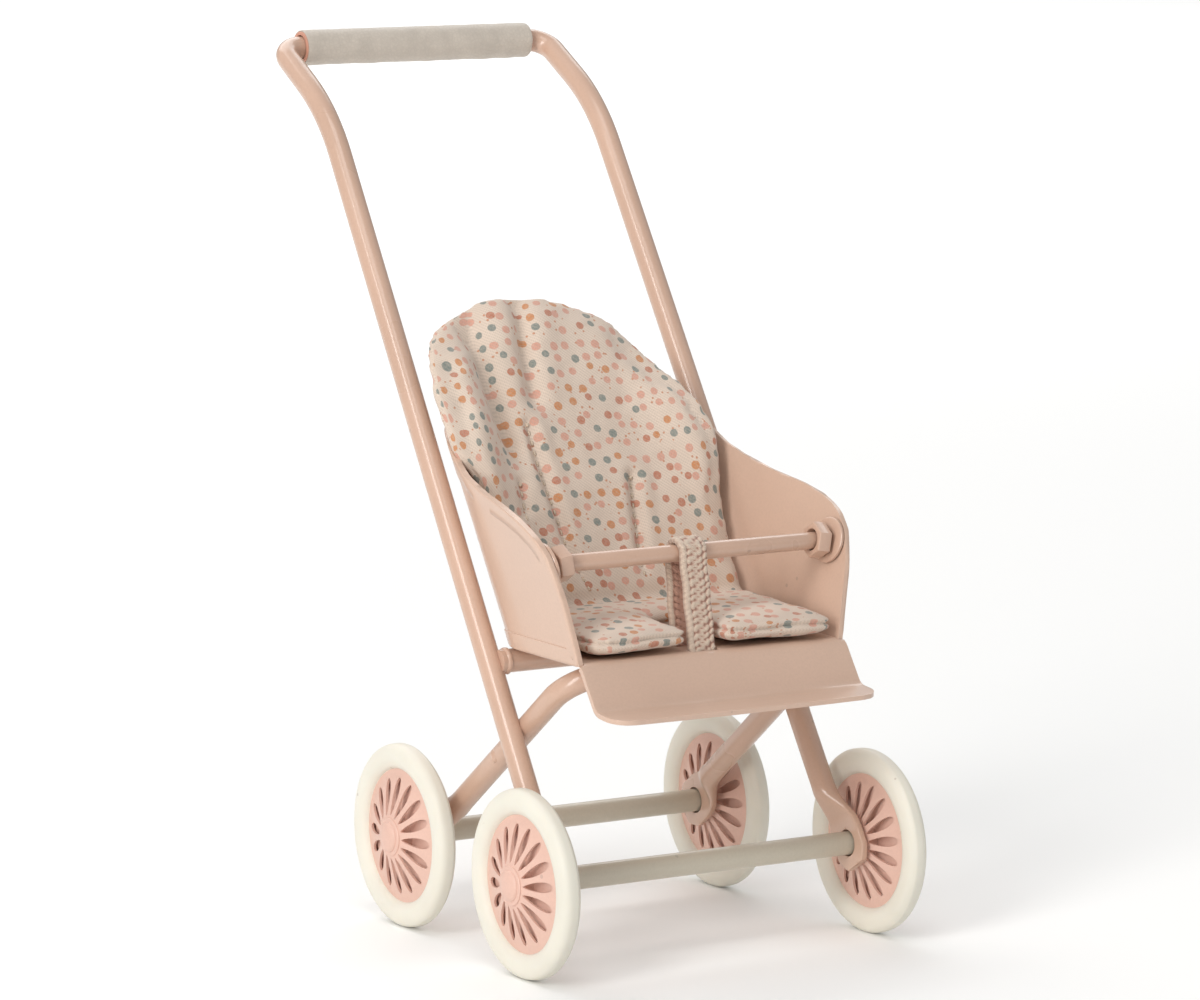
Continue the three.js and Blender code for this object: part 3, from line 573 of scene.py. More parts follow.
def tyre():
    middle = wheel["radius"] - wheel["tyreDepth"] / 2
    profile = []
    for i in range(44):
        turn = 2 * math.pi * i / 44
        broad = 0.8 if math.sin(turn) > 0 else 0.98  # the tread is squarer than the inner side
        wide = powered(math.cos(turn), broad)
        deep = powered(math.sin(turn), 0.88)
        profile.append([wheel["tyreHalfWidth"] * wide, middle + wheel["tyreDepth"] / 2 * deep])
    for point in profile:
        if abs(point[0] + 0.75) < 0.12 and point[1] > middle:
            point[1] += 0.07  # the parting edge of the mould
    return turnedPiece(profile, 128)


def slottedDisc():
    profile, steps = [], 14
    outer = [wheel["bore"] + (wheel["rim"] - wheel["bore"]) * i / steps for i in range(steps + 1)]

    def face(radius):
        share = (wheel["rim"] - 0.5 - radius) / (wheel["rim"] - 0.5 - wheel["bore"])
        return wheel["rimFace"] + wheel["dish"] * min(1, max(0, share) ** 1.05)

    for radius in outer:
        profile.append([face(radius), radius])
    for radius in reversed(outer):
        profile.append([face(radius) - wheel["discThickness"], radius])
    plate = turnedPiece(profile, 128)
    middle = (wheel["slotInner"] + wheel["slotOuter"]) / 2
    half = (wheel["slotOuter"] - wheel["slotInner"]) / 2

    def place(point):
        share = max(0, (point.z + 1) / 2)
        width = wheel["slotHalfWidth"] * (0.45 + 0.75 * share ** 0.8)
        return Vector((point.x + 1, point.y * width, middle + point.z * half))

    petals = []
    for i in range(wheel["slots"]):
        bpy.ops.mesh.primitive_cylinder_add(
            vertices=28, radius=1, depth=4, location=(0, 0, 0), rotation=(0, math.pi / 2, 0))
        petal = bpy.context.object
        applyPlace(petal)
        shape(petal, place)
        turnAbout(petal, "X", 2 * math.pi * (i + 0.5) / wheel["slots"])
        petals.append(petal)
    cutBy(plate, joined(*petals))
    return plate


def webPlate():  # closes the wheel between its two discs
    return turnedPiece([
        [-0.15, 2.75], [0.15, 2.75], [0.15, 9.1], [0.1, 9.2], [-0.1, 9.2], [-0.15, 9.1]], 96)


def hubRing():
    radius, bore = wheel["ringRadius"], wheel["ringBore"]
    return turnedPiece([
        [-2.3, bore], [2.92, bore], [2.96, radius - 0.5], [2.92, radius - 0.12], [2.8, radius],
        [1.3, radius], [1.25, 2.72], [-2.2, 2.72], [-2.3, 2.62]], 64)


def hubDome():
    profile = [[2.6, 0.0], [2.6, wheel["domeRadius"] - 0.05], [2.75, wheel["domeRadius"]]]
    rise = wheel["domeTop"] - 2.85
    for i in range(1, 11):
        turn = math.pi / 2 * i / 10
        radius = wheel["domeRadius"] * max(0, math.cos(turn)) ** 0.85
        profile.append([2.85 + rise * math.sin(turn), radius])
    profile[-1][1] = 0.0
    return turnedPiece(profile, 64)


def turnAbout(piece, axis, angle):
    edit(piece)
    bpy.ops.transform.rotate(value=angle, orient_axis=axis, center_override=(0, 0, 0))
    objectMode()


wheelPieces = {
    "Tyre": (tyre(), tyrePaint, "tyre", "_tyre"),
    "DiscOuter": (slottedDisc(), discPaint, "disc_paint", "_disc_outer"),
    "DiscInner": (None, discPaint, "disc_paint", "_disc_inner"),
    "Web": (webPlate(), discPaint, "disc_paint", ""),
    "HubRing": (hubRing(), discPaint, "disc_paint", "_hub_bush"),
    "HubDome": (hubDome(), discPaint, "disc_paint", "_hub_cap"),
}
inner = copied(wheelPieces["DiscOuter"][0], "innerDisc")
turnAbout(inner, "Z", math.pi)
wheelPieces["DiscInner"] = (inner,) + wheelPieces["DiscInner"][1:]
# turns of the outer and the inner disc, in degrees
wheelTurns = {"front_left": (4, -5), "front_right": (7, -2), "rear_left": (11, -1), "rear_right": (2, -8)}
for place, (turn, innerTurn) in wheelTurns.items():
    words = place.split("_")
    axle = frontAxle if words[0] == "front" else rearAxle
    x = wheel[words[0] + "Track"] * (-1 if words[1] == "left" else 1)
    for part, (pattern, paint, slotName, ending) in wheelPieces.items():
        piece = copied(pattern, "wheelCopy")
        if part.startswith("Disc"):
            turnAbout(piece, "X", math.radians(innerTurn if part == "DiscInner" else turn))
        if x < 0:
            turnAbout(piece, "Z", math.pi)
        edit(piece)
        bpy.ops.transform.translate(value=(x, axle.y, axle.z))
        objectMode()
        soften(piece, 30)
        body = "axle_" + words[0] if part == "HubDome" else "wheel_" + place
        stands = [place + ending] if ending else []
        putAway(piece, words[0] + words[1].title() + part, paint, slotName, body, stands)
for pattern, *rest in wheelPieces.values():
    bpy.data.objects.remove(pattern)
print("wheels made")


# Sheet metal seat: the shell bent round the back, its hem, and the pan with the footrest.

seat = {
    "halfWidth": 24.5, "backOffset": -1.2, "corner": 7.0, "sheet": 0.8, "bottom": 49.0,
    "flare": 0.21, "hemWidth": 2.6, "hemRise": 0.17, "archFoot": 76, "archRise": 16.5,
}
# share of a wing's lean, by distance forward of the legs
leanShare = [[2.5, 0.0], [5.5, 0.13], [8.0, 0.31], [9.6, 0.4], [16.0, 0.64], [23.0, 0.92], [26.0, 1.0],
             [40.0, 1.0]]
# top edge of a wing and its front edge, as [forward, up along the legs]
wingTop = [[0.0, 79.5], [4.3, 73.8], [6.5, 69.2], [8.9, 65.9], [13.9, 60.6], [19.8, 55.2],
           [23.4, 51.4], [25.4, 48.6], [26.7, 46.2], [27.25, 44.4], [27.4, 43.4]]
wingFront = [[21.5, 26.8], [25.9, 36.5], [26.9, 39.8], [27.3, 41.4], [27.4, 42.6]]


def seatPoint(x, forward, up):
    return Vector((x, 0, 0)) + frontAxle + legForward * forward + legUp * up


def leanAt(forward, z):
    return seat["flare"] * along(leanShare, forward) * max(0, z - seat["bottom"])


def shellSection(s, depth):  # half of the bent sheet seen along the legs, by distance round it
    radius = seat["corner"]
    flat = seat["halfWidth"] - radius
    bend = radius * math.pi / 2
    if s < flat:
        return s, seat["backOffset"] + depth
    if s < flat + bend:
        turn = (s - flat) / radius
        reach = radius - depth
        return flat + reach * math.sin(turn), seat["backOffset"] + radius - reach * math.cos(turn)
    return seat["halfWidth"] - depth, seat["backOffset"] + radius + s - flat - bend


def shellPoint(s, up, depth=0.0):
    x, forward = shellSection(abs(s), depth)
    point = seatPoint(x, forward, up)
    point.x += leanAt(forward, point.z)
    point.x *= 1 if s >= 0 else -1
    return point


def shellForward(s):
    return shellSection(abs(s), 0)[1]


def shellBottom(s):
    forward = shellForward(s)
    level = (seat["bottom"] - frontAxle.z - legForward.z * forward) / legUp.z
    return max(level, along(wingFront, forward)) if forward > 21.5 else level


def shellTop(s):
    forward = shellForward(s)
    share = min(abs(s), 24) / 24.5
    arch = seat["archFoot"] + seat["archRise"] * math.sqrt(max(0, 1 - share ** 2))
    return min(arch, along(wingTop, forward)) if abs(s) > 22 else arch


shellReach = 17.5 + 3.5 * math.pi + 27.4 - 5.8  # half the back, a bend and a wing


def gridPiece(name, columns, rows, place):  # a grid whose two directions run from 0 to 1
    bpy.ops.mesh.primitive_grid_add(x_subdivisions=columns, y_subdivisions=rows, size=2)
    piece = bpy.context.object
    piece.name = name
    shape(piece, lambda point: place((point.x + 1) / 2, (point.y + 1) / 2))
    return piece


def shellPlace(u, v):
    s = (2 * u - 1) * shellReach
    low, high = shellBottom(s), shellTop(s)
    return shellPoint(s, low + (high - low) * v)


shell = gridPiece("shell", 150, 70, shellPlace)
edit(shell)
bpy.ops.mesh.normals_make_consistent(inside=False)
objectMode()
backFace = min(shell.data.polygons, key=lambda face: (face.center - seatPoint(0, -1.2, 70)).length)
outer = backFace.normal.dot(legForward) < 0
modify(shell, "SOLIDIFY", thickness=seat["sheet"], offset=-1 if outer else 1, use_even_offset=True)
outwards(shell)
bevelled(shell, 0.24, 3, 55)
soften(shell, 40)


def shellOutline(step=0.8):  # [round the sheet, up] points, from one wing's foot over the back
    count = int(2 * shellReach / step)
    stations = [shellReach - 2 * shellReach * i / count for i in range(count + 1)]
    half = [[s, shellBottom(s)] for s in stations if 17 < s <= shellReach]
    half = half[::-1] + [[s, shellTop(s)] for s in stations if s >= 0]
    return half + [[-s, up] for s, up in reversed(half)]


def smoothLine(points, passes):
    for turn in range(passes):
        inner = [[sum(points[i + k][j] for k in (-1, 0, 1)) / 3 for j in (0, 1)]
                 for i in range(1, len(points) - 1)]
        points = [points[0]] + inner + [points[-1]]
    return points


hemLine = shellOutline()
# the hem's cross-section, as [in from the edge, rise]
hemSides = [
    [0.02, -0.6], [0.0, 0.0], [0.12, 0.12], [0.45, seat["hemRise"]], [1.3, seat["hemRise"]],
    [seat["hemWidth"] - 0.08, seat["hemRise"] * 0.9], [seat["hemWidth"], 0.0],
    [seat["hemWidth"] + 0.02, -0.1]]
insides = []
for i, (s, up) in enumerate(hemLine):
    before, after = hemLine[max(0, i - 1)], hemLine[min(len(hemLine) - 1, i + 1)]
    run = Vector((after[0] - before[0], after[1] - before[1])).normalized()
    insides.append([run.y, -run.x])
insides = smoothLine(insides, 3)
hemFlip = -1 if insides[len(insides) // 2][1] > 0 else 1


def hemPlace(u, v):
    spot = u * (len(hemLine) - 1)
    i = min(int(spot), len(hemLine) - 2)
    share = spot - i

    def between(points):
        return [points[i][k] * (1 - share) + points[i + 1][k] * share for k in (0, 1)]

    s, up = between(hemLine)
    side = Vector(between(insides)).normalized() * hemFlip
    inset, rise = hemSides[min(round(v * (len(hemSides) - 1)), len(hemSides) - 1)]
    return shellPoint(s + side.x * inset, up + side.y * inset, -rise)


hem = gridPiece("hem", len(hemLine) * 2, len(hemSides) - 1, hemPlace)
outwards(hem)
modify(hem, "SOLIDIFY", thickness=0.05, offset=0)
soften(hem, 50)
putAway(shell, "seatShell", sheetPaint, "sheet_paint", "frame", ["seat_shell"])
putAway(hem, "seatShellHem", sheetPaint, "sheet_paint", "frame")

pan = {
    "level": 49.1, "rear": -17.3, "rearCorner": 6.4, "knee": -43.4, "foot": (-48.2, 42.35),
    "lip": (-54.5, 41.75), "bend": 2.5, "wide": 24.6, "narrow": 23.5, "shoulder": -43.3, "corner": 3.6,
    "sheet": 0.76, "rows": 110, "slots": (-41.6, -36.4), "slotSize": (5.5, 1.7, 4), "slotX": -0.8,
}


def roundedLine(corners, radius, steps):
    line = [Vector(corners[0])]
    for before, here, after in zip(corners, corners[1:], corners[2:]):
        into = (Vector(here) - Vector(before)).normalized()
        out = (Vector(after) - Vector(here)).normalized()
        angle = into.angle(out)
        start = Vector(here) - into * radius * math.tan(angle / 2)
        inward = (out - into * into.dot(out)).normalized()
        for k in range(steps + 1):
            turn = angle * k / steps
            ahead, aside = radius * math.sin(turn), radius * (1 - math.cos(turn))
            line.append(start + into * ahead + inward * aside)
    return line + [Vector(corners[-1])]


def evenly(line, count):
    lengths = [0]
    for a, b in zip(line, line[1:]):
        lengths.append(lengths[-1] + (b - a).length)
    points, i = [], 0
    for k in range(count):
        reach = lengths[-1] * k / (count - 1)
        while i < len(line) - 2 and lengths[i + 1] < reach:
            i += 1
        share = (reach - lengths[i]) / max(1e-9, lengths[i + 1] - lengths[i])
        points.append(line[i].lerp(line[i + 1], min(1, share)))
    return points


panCorners = [(pan["rear"], pan["level"]), (pan["knee"], pan["level"]), pan["foot"], pan["lip"]]
panLine = evenly(roundedLine(panCorners, pan["bend"], 12), pan["rows"] + 1)


def rounding(radius, past):  # how far a round corner draws an edge in
    return radius - math.sqrt(max(0, radius ** 2 - past ** 2)) if past > 0 else 0


def panPlace(u, v):
    y, z = panLine[round(v * pan["rows"])]
    half = pan["wide"] if y < pan["shoulder"] else pan["narrow"]
    # its rear corners follow the bent shell, and its front ones are rounded
    half -= rounding(pan["rearCorner"], y - (pan["rear"] - pan["rearCorner"]))
    half -= rounding(pan["corner"], pan["corner"] - (y - pan["lip"][0]))
    sag = 0.12 * math.cos(math.pi * (u - 0.5)) if y < -50 else 0
    return Vector(((2 * u - 1) * half, y, z - sag))


panPiece = gridPiece("pan", 60, pan["rows"], panPlace)
modify(panPiece, "SOLIDIFY", thickness=pan["sheet"], offset=0, use_even_offset=True)
outwards(panPiece)
for y in pan["slots"]:  # for the strap
    spot = (pan["slotX"], y, pan["level"])
    bpy.ops.mesh.primitive_cube_add(size=1, location=spot, scale=pan["slotSize"])
    cutBy(panPiece, bpy.context.object)
bevelled(panPiece, 0.2, 3, 50)
soften(panPiece, 40)
putAway(panPiece, "seatPan", sheetPaint, "sheet_paint", "frame", ["seat_pan"])
print("seat shell and pan bent")


# Guard bar with a nut and a washer at each wing.

bar = {"radius": 1.4, "edge": 0.2, "nutFlats": 5.1, "nutHeight": 2.4, "nutLean": 9, "bore": 1.75,
       "washerRadius": 3.7, "washer": 0.7}
guard = straightRod("guard_bar", bar["radius"], bar["edge"], 40)
putAway(guard, "guardBar", framePaint, "frame_paint", "bar", ["guard_bar"])


def wingWidth(y, z):  # half the width between the wings, this far from the guard bar
    spot = Vector((0, guardBar.y + y, guardBar.z + z))
    return seat["halfWidth"] + leanAt((spot - frontAxle).dot(legForward), spot.z)


def boxCentre(node):
    low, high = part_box(node)
    return (low + high) * 500


def fitted(piece, turn, centre, degrees):
    shape(piece, lambda point: turn @ point + centre)
    outwards(piece)
    soften(piece, degrees)


wingSlope = wingWidth(1, 0) - wingWidth(-1, 0), wingWidth(0, 1) - wingWidth(0, -1)
nutLean = math.radians(bar["nutLean"])
for side, end in ((-1, "left"), (1, "right")):
    bpy.ops.mesh.primitive_cylinder_add(
        vertices=6, radius=bar["nutFlats"] / math.sqrt(3), depth=bar["nutHeight"], end_fill_type="NGON")
    nut = bpy.context.object
    bevelled(nut, 0.3, 3, 80)
    bpy.ops.mesh.primitive_cylinder_add(vertices=40, radius=bar["bore"], depth=8)
    cutBy(nut, bpy.context.object)
    bevelled(nut, 0.12, 2, 60)
    way = Vector((side * math.cos(nutLean), 0, -math.sin(nutLean)))
    # two of its flats face forward and back
    turn = Matrix((yAxis, yAxis.cross(way).normalized(), way)).transposed()
    fitted(nut, turn, boxCentre("bar_nut_" + end), 25)
    putAway(nut, end + "BarNut", framePaint, "frame_paint", "frame", ["bar_nut_" + end])

    thick, radius = bar["washer"], bar["washerRadius"]
    washer = turnedPiece([
        [0.0, bar["bore"]], [thick, bar["bore"]], [thick, radius - 0.1], [thick - 0.12, radius],
        [0.22, radius], [0.1, radius - 0.16], [0.0, radius - 0.6]], 72)
    wingWay = Vector((2 * side, -wingSlope[0], -wingSlope[1])).normalized()
    upWay = (zAxis - wingWay * wingWay.z).normalized()
    turn = Matrix((wingWay, upWay.cross(wingWay), upWay)).transposed()
    fitted(washer, turn, boxCentre("bar_washer_" + end) - wingWay * thick / 2, 35)
    putAway(washer, end + "BarWasher", framePaint, "frame_paint", "frame", ["bar_washer_" + end])
print("guard bar and its nuts made")


# Grip: a tube over the rod and a soft sleeve over the tube.

grip = {"bore": 2.12, "tube": 2.7, "tubeHalf": 21.9, "sleeve": 2.96, "sleeveHalf": 21.72, "inside": 2.74}
half, radius = grip["tubeHalf"], grip["tube"]
tube = turnedPiece([
    [-half, grip["bore"]], [half, grip["bore"]], [half, radius - 0.1], [half - 0.1, radius],
    [-half + 0.1, radius], [-half, radius - 0.1]], 64)
shape(tube, lambda point: point + gripAxis)
soften(tube)
putAway(tube, "gripTube", gripTubePaint, "grip_tube", "frame", ["grip_tube"])
half, stations = grip["sleeveHalf"], 120
sleeveProfile = [[-half, grip["inside"]], [-half, grip["sleeve"] - 0.08]]
for i in range(stations + 1):
    place = -half + 0.06 + (2 * half - 0.12) * i / stations
    ending = max(0, abs(place) - (half - 0.5)) / 0.5
    sleeveProfile.append([place, grip["sleeve"] - 0.1 * ending ** 2])
sleeveProfile += [[half, grip["sleeve"] - 0.16], [half, grip["inside"]]]
sleeve = turnedPiece(sleeveProfile, 72)


def wrinkled(point):
    radius = math.hypot(point.y, point.z)
    if radius > grip["inside"] + 0.05:
        turn = math.atan2(point.y, point.z)
        spot = Vector((point.x * 0.55, math.cos(turn) * 2.0, math.sin(turn) * 2.0))
        crease = noise.noise(Vector((point.x * 0.9, turn * 0.8, 3)))
        swell = 0.05 * noise.noise(spot) + 0.035 * crease
        if point.z < -2:
            swell += 0.06 * math.sin(point.x * 0.85) * math.sin(point.x * 0.31 + 1)
        share = (radius + swell) / radius
        return Vector((point.x, point.y * share, point.z * share)) + gripAxis
    return point + gripAxis


shape(sleeve, wrinkled)
soften(sleeve, 40)
putAway(sleeve, "gripSleeve", gripPaint, "grip_leather", "frame", ["grip_sleeve"])
print("grip made")


# Cloth: printed cotton for the cushion and knitted tape for the strap.

prints = {
    "pitch": 2.72, "dot": 0.266, "pink": colour(212, 156, 137), "rust": colour(187, 118, 92),
    "ochre": colour(200, 132, 82), "slate": colour(122, 133, 128), "speck": colour(192, 120, 80),
}


def printedCotton():
    paint = Paint("printedCotton", Roughness=0.92, IOR=1.4)
    paint.set("Sheen Weight", 0.25)
    paint.set("Sheen Roughness", 0.5)
    paint.set("Specular IOR Level", 0.15)
    flat = paint.node("ShaderNodeUVMap", {"uv_map": "UVMap"})  # a hundred millimetres to the unit
    around = paint.place()
    wobble = paint.noise(flat, 210)
    scale, level = 100 / prints["pitch"], {"voronoi_dimensions": "2D"}
    spot = paint.voronoi(flat, scale, level, Randomness=0.6)
    draw = paint.voronoi(flat, scale, level, 1, Randomness=0.6)
    chance = paint.node("ShaderNodeSeparateColor", {}, [draw], 0)
    second = paint.node("ShaderNodeSeparateColor", {}, [draw], 1)
    ragged = spot + (wobble - 0.5) * 0.09 + second * 0.05
    dot = paint.spread(ragged, 1, 0, prints["dot"], prints["dot"] + 0.035)
    stops = [(0, prints["pink"]), (0.4, prints["ochre"]), (0.6, prints["slate"]), (0.82, prints["rust"])]
    ramp = paint.node("ShaderNodeValToRGB", {"stops": stops}, [chance])
    ramp.socket.node.color_ramp.interpolation = "CONSTANT"
    fine = paint.voronoi(flat, 58, level, Randomness=1.0)
    speck = paint.spread(fine + (wobble - 0.5) * 0.1, 1, 0, 0.1, 0.14) * (paint.noise(flat, 34, 0) > 0.57)
    weave = paint.waves(flat, 95, "DIAGONAL", 0.6, 1) * 0.6 + paint.waves(flat, 110, "X", 0.5, 1) * 0.4
    cloud = paint.noise(around, 120, 3)
    tone = tones["cotton"]
    base = paint.mottled(cloud, tone, 0.95, 1.04)
    base = paint.mix(speck * 0.75, base, prints["speck"])
    fleck = paint.spread(wobble, 0.72, 0.95, 0.3, 0.6)
    base = paint.mix(dot * fleck, base, ramp)
    # Low threads of the weave, which the bump below sinks, are mixed towards 0.6 of the tone: painted
    # shade between the threads.
    base = paint.mix(paint.spread(weave, 0.34, 0, 0.1, 0.7), base, shaded(tone, 0.6))
    paint.set("Base Color", base)
    paint.set("Roughness", paint.spread(weave, 0.86, 0.98))
    paint.bump(weave + cloud * 0.5, 0.35, 0.00012)
    return paint.material


def knittedYarn():
    paint = Paint("knittedYarn", Roughness=0.95)
    paint.set("Sheen Weight", 0.3)
    paint.set("Specular IOR Level", 0.1)
    around = paint.place()
    yarn = paint.node("ShaderNodeAttribute", {"attribute_name": "cream"}, (), "Fac")
    depth = paint.node("ShaderNodeAttribute", {"attribute_name": "depth"}, (), "Fac")
    fibre = paint.noise(around, 4200, 2, 0.6)
    strand = paint.waves(around, 1500, "DIAGONAL", 3)
    base = paint.mix(yarn, tones["yarnPink"], tones["yarnCream"])
    base = paint.mix(paint.spread(fibre, 0.4, 0, 0.25, 0.7), base, shaded(tones["yarnPink"], 0.75))
    # Points deep between the stitches and beside the edge beads are mixed towards 0.42 of the pink:
    # painted shade in the gaps of the knit.
    base = paint.mix(paint.spread(depth, 0.0, 0.85, 0.35, 1), base, shaded(tones["yarnPink"], 0.42))
    paint.set("Base Color", base)
    paint.set("Roughness", paint.spread(fibre, 0.9, 1.0))
    paint.bump(strand * 0.6 + fibre, 0.6, 0.0002)
    return paint.material


def stitchThread():
    paint = Paint("stitchThread", Roughness=0.9)
    twist = paint.waves(paint.place(), 1400, "DIAGONAL", 1)
    tone = colour(224, 206, 184)
    # The twist's low bands, which the bump below sinks, lie towards 0.72 of the tone: painted shade in
    # the grooves between the plies.
    paint.set("Base Color", paint.mix(twist, shaded(tone, 0.72), tone))
    paint.bump(twist, 0.5, 0.0001)
    return paint.material


cottonPaint = printedCotton()
knitPaint = knittedYarn()
threadPaint = stitchThread()


# Strap: one knitted tape looped round the guard bar and the rod under the pan.

strap = {"x": -0.8, "halfWidth": 2.45, "halfThickness": 0.4, "bead": 0.2, "pitch": 1.2,
         "overBar": 2.1, "underRod": 2.6, "slack": [(-35.3, 53.5), (-34.7, 59.3)]}


def arcPoints(centre, radius, degrees):
    turns = [math.radians(turn) for turn in degrees]
    return [Vector((centre[0] + radius * math.cos(turn), centre[1] + radius * math.sin(turn)))
            for turn in turns]


def curved(a, b, c, d, t):  # a smooth curve from b to c, as t runs from 0 to 1
    return 0.5 * (2 * b + (c - a) * t + (2 * a - 5 * b + 4 * c - d) * t * t
                  + (3 * b - a - 3 * c + d) * t ** 3)


def closedCurve(points, count):  # an even run of points on a smooth closed curve
    line = []
    for i in range(len(points)):
        near = [points[(i + k) % len(points)] for k in (-1, 0, 1, 2)]
        line += [curved(*near, k / 12) for k in range(12)]
    return evenly(line + [line[0]], count + 1)


strapRows = 400
overBar = arcPoints((guardBar.y, guardBar.z), strap["overBar"], (-8, 25, 58, 90, 122, 155, 188))
underRod = arcPoints(
    (rods["frontSupport"], rods["supportHeight"]), strap["underRod"], (172, 205, 238, 270, 302, 335, 368))
strapLine = closedCurve(overBar + underRod + [Vector(point) for point in strap["slack"]], strapRows)
strapLength = sum((b - a).length for a, b in zip(strapLine, strapLine[1:]))


def knitAt(across, run):  # height, cream share and depth of the knitting
    if across < -0.6:
        offset = (across + 0.8) / 0.22
        ripple = 0.8 + 0.2 * math.cos(2 * math.pi * run / 0.9 + across * 6)
        height = math.sqrt(max(0, 1 - offset * offset)) * ripple
        return height, 0.9, 1 - height
    column = (across + 0.6) / 0.4
    row = run / strap["pitch"] + 0.5 * (int(column) % 2) + 0.35 * (column % 1)
    row += 0.12 * math.sin(run * 1.7 + column)
    c, r = column % 1 - 0.5, row % 1 - 0.5
    distance = math.sqrt((c / 0.47) ** 2 + (r / 0.4) ** 2)
    height = math.sqrt(max(0, 1 - distance * distance))
    return height, smooth(1.25, 0.8, distance), smooth(0.75, 1.35, distance)


# yarnDepth holds how deep each point lies in the knit; the yarn paint turns it into painted shade.
yarnCream, yarnDepth = [], []


def strapPlace(u, v):
    row = min(round(v * strapRows), strapRows) % strapRows
    centre = strapLine[row]
    way = (strapLine[(row + 1) % strapRows] - strapLine[row - 1]).normalized()
    turn = 2 * math.pi * u
    across = powered(-math.cos(turn), 0.55)
    face = powered(math.sin(turn), 0.45)
    run = strapLength * v
    height, cream, depth = knitAt(across, run)
    behind = centre.x > -37.2 and 48 < centre.y < 63
    edge = 1 if abs(across) > 0.72 else 0.12
    yarnCream.append(cream * (edge if behind else 1))
    yarnDepth.append(depth)
    thick = strap["halfThickness"] * face + strap["bead"] * height * face
    height *= 1 + 0.5 * noise.noise(Vector((run * 1.9, across * 4, 5)))
    wave = 0.08 * math.sin(run * 1.1) + 0.05 * noise.noise(Vector((run * 2, across, 0)))
    x = strap["x"] + strap["halfWidth"] * across + wave
    out = Vector((way.y, -way.x))
    return Vector((x, centre.x + out.x * thick, centre.y + out.y * thick))


tape = gridPiece("tape", 72, strapRows, strapPlace)
for key, values in (("cream", yarnCream), ("depth", yarnDepth)):
    layer = tape.data.attributes.new(key, "FLOAT", "POINT")
    layer.data.foreach_set("value", values)
outwards(tape)
soften(tape, 180)
putAway(tape, "safetyStrap", knitPaint, "knit_tape", "frame", ["safety_strap"])
print("strap knitted")


# Cushion: a back and a seat of two lobes, filled out by cloth pressure, then stitched.

cushion = {
    "scale": 8.0, "voxel": 0.9, "pressure": 4.0, "steps": 20, "cap": 1.1, "backMiddle": 2.4,
    "backHalf": 1.45, "seatLow": 50.6, "seatHigh": 53.7, "front": -43.7, "side": 22.9,
    "notch": (-4.6, 2.9), "notchDepth": 12.0, "rear": -17.6, "foldHeight": 54.6, "foldForward": 4.6,
}
# outline of the back, as [across, up along the legs], from the right foot over the top
backOutline = [
    [22.6, 42], [22.7, 54], [22.9, 64], [22.9, 70.5], [22.1, 77.0], [20.0, 84.0], [17.2, 90.2],
    [11.8, 96.4],
    [4.0, 99.8], [-2.6, 100.9], [-8.6, 101.0], [-14.4, 99.2], [-20.2, 96.0], [-24.2, 91.0],
    [-26.0, 85], [-26.4, 79], [-26.2, 71.5], [-23.7, 65], [-22.8, 56], [-22.6, 42]]
# how far each side of the back curls forward, by height
rightCurl = [[50, 0], [58, 2.2], [64, 4.6], [70, 6.4], [77, 6.2], [83, 4.0], [88, 1.8], [94, 0.4],
             [99, 0]]
leftCurl = [[50, 0.5], [58, 2.2], [66, 4.2], [74, 5.2], [84, 4.6], [91, 2.8], [96, 1.2], [99, 0.4]]


def curlAt(x, up):
    if x > 0:
        return along(rightCurl, up) * smooth(9, 24, x)
    return along(leftCurl, up) * smooth(13, 24, -x)


def curvedOutline(points, steps=4):  # the same outline with its corners rounded off
    line = []
    for i in range(len(points) - 1):
        near = [points[min(max(0, i + k), len(points) - 1)] for k in (-1, 0, 1, 2)]
        for k in range(steps):
            line.append([curved(*values, k / steps) for values in zip(*near)])
    return line + [points[-1]]


def slab(outline, thickness):  # a flat closed sheet of even thickness over an outline, centred on Z = 0
    bpy.ops.mesh.primitive_circle_add(vertices=len(outline), radius=1, fill_type="NGON")
    piece = bpy.context.object
    for vertex, (x, y) in zip(piece.data.vertices, outline):
        vertex.co = (x, y, 0)
    modify(piece, "SOLIDIFY", thickness=thickness, offset=0)
    outwards(piece)
    modify(piece, "REMESH", mode="VOXEL", voxel_size=cushion["voxel"])
    return piece


def roundCorner(centre, radius, start, steps=6):
    return arcPoints(centre, radius, [start + 90 * k / steps for k in range(steps + 1)])


backPart = slab(curvedOutline(backOutline), 2 * cushion["backHalf"])
shape(backPart, lambda point: seatPoint(
    point.x, cushion["backMiddle"] + point.z + curlAt(point.x, point.y), point.y))
front, side = cushion["front"], cushion["side"]
notchLeft, notchRight = cushion["notch"]
lobes = [[side, cushion["rear"]], [-side, cushion["rear"]]]
lobes += roundCorner((-side + 4.5, front + 4.5), 4.5, 180)
lobes += roundCorner((notchLeft - 1.8, front + 1.8), 1.8, 270)
lobes += [[notchLeft, front + cushion["notchDepth"]], [notchRight, front + cushion["notchDepth"]]]
lobes += roundCorner((notchRight + 1.8, front + 1.0), 1.8, 180)
lobes += roundCorner((side - 1.2, front + 1.4), 2.0, 270)
middle = (cushion["seatLow"] + cushion["seatHigh"]) / 2
seatPart = slab(lobes, cushion["seatHigh"] - cushion["seatLow"])
shape(seatPart, lambda point: point + Vector((0, 0, middle)))
pad = joined(backPart, seatPart)
unit = 0.001 * cushion["scale"]  # cloth behaves better when it is simulated large
shape(pad, lambda point: point * 0.001 * cushion["scale"])
modify(pad, "REMESH", mode="VOXEL", voxel_size=unit * cushion["voxel"])
modify(pad, "SMOOTH", factor=0.5, iterations=4)
before = [vertex.co.copy() for vertex in pad.data.vertices]
only(pad)
cloth = pad.modifiers.new("Cloth", "CLOTH")
cloth.settings.use_pressure = True
cloth.settings.uniform_pressure_force = cushion["pressure"]
cloth.settings.effector_weights.gravity = 0
cloth.settings.quality = 5
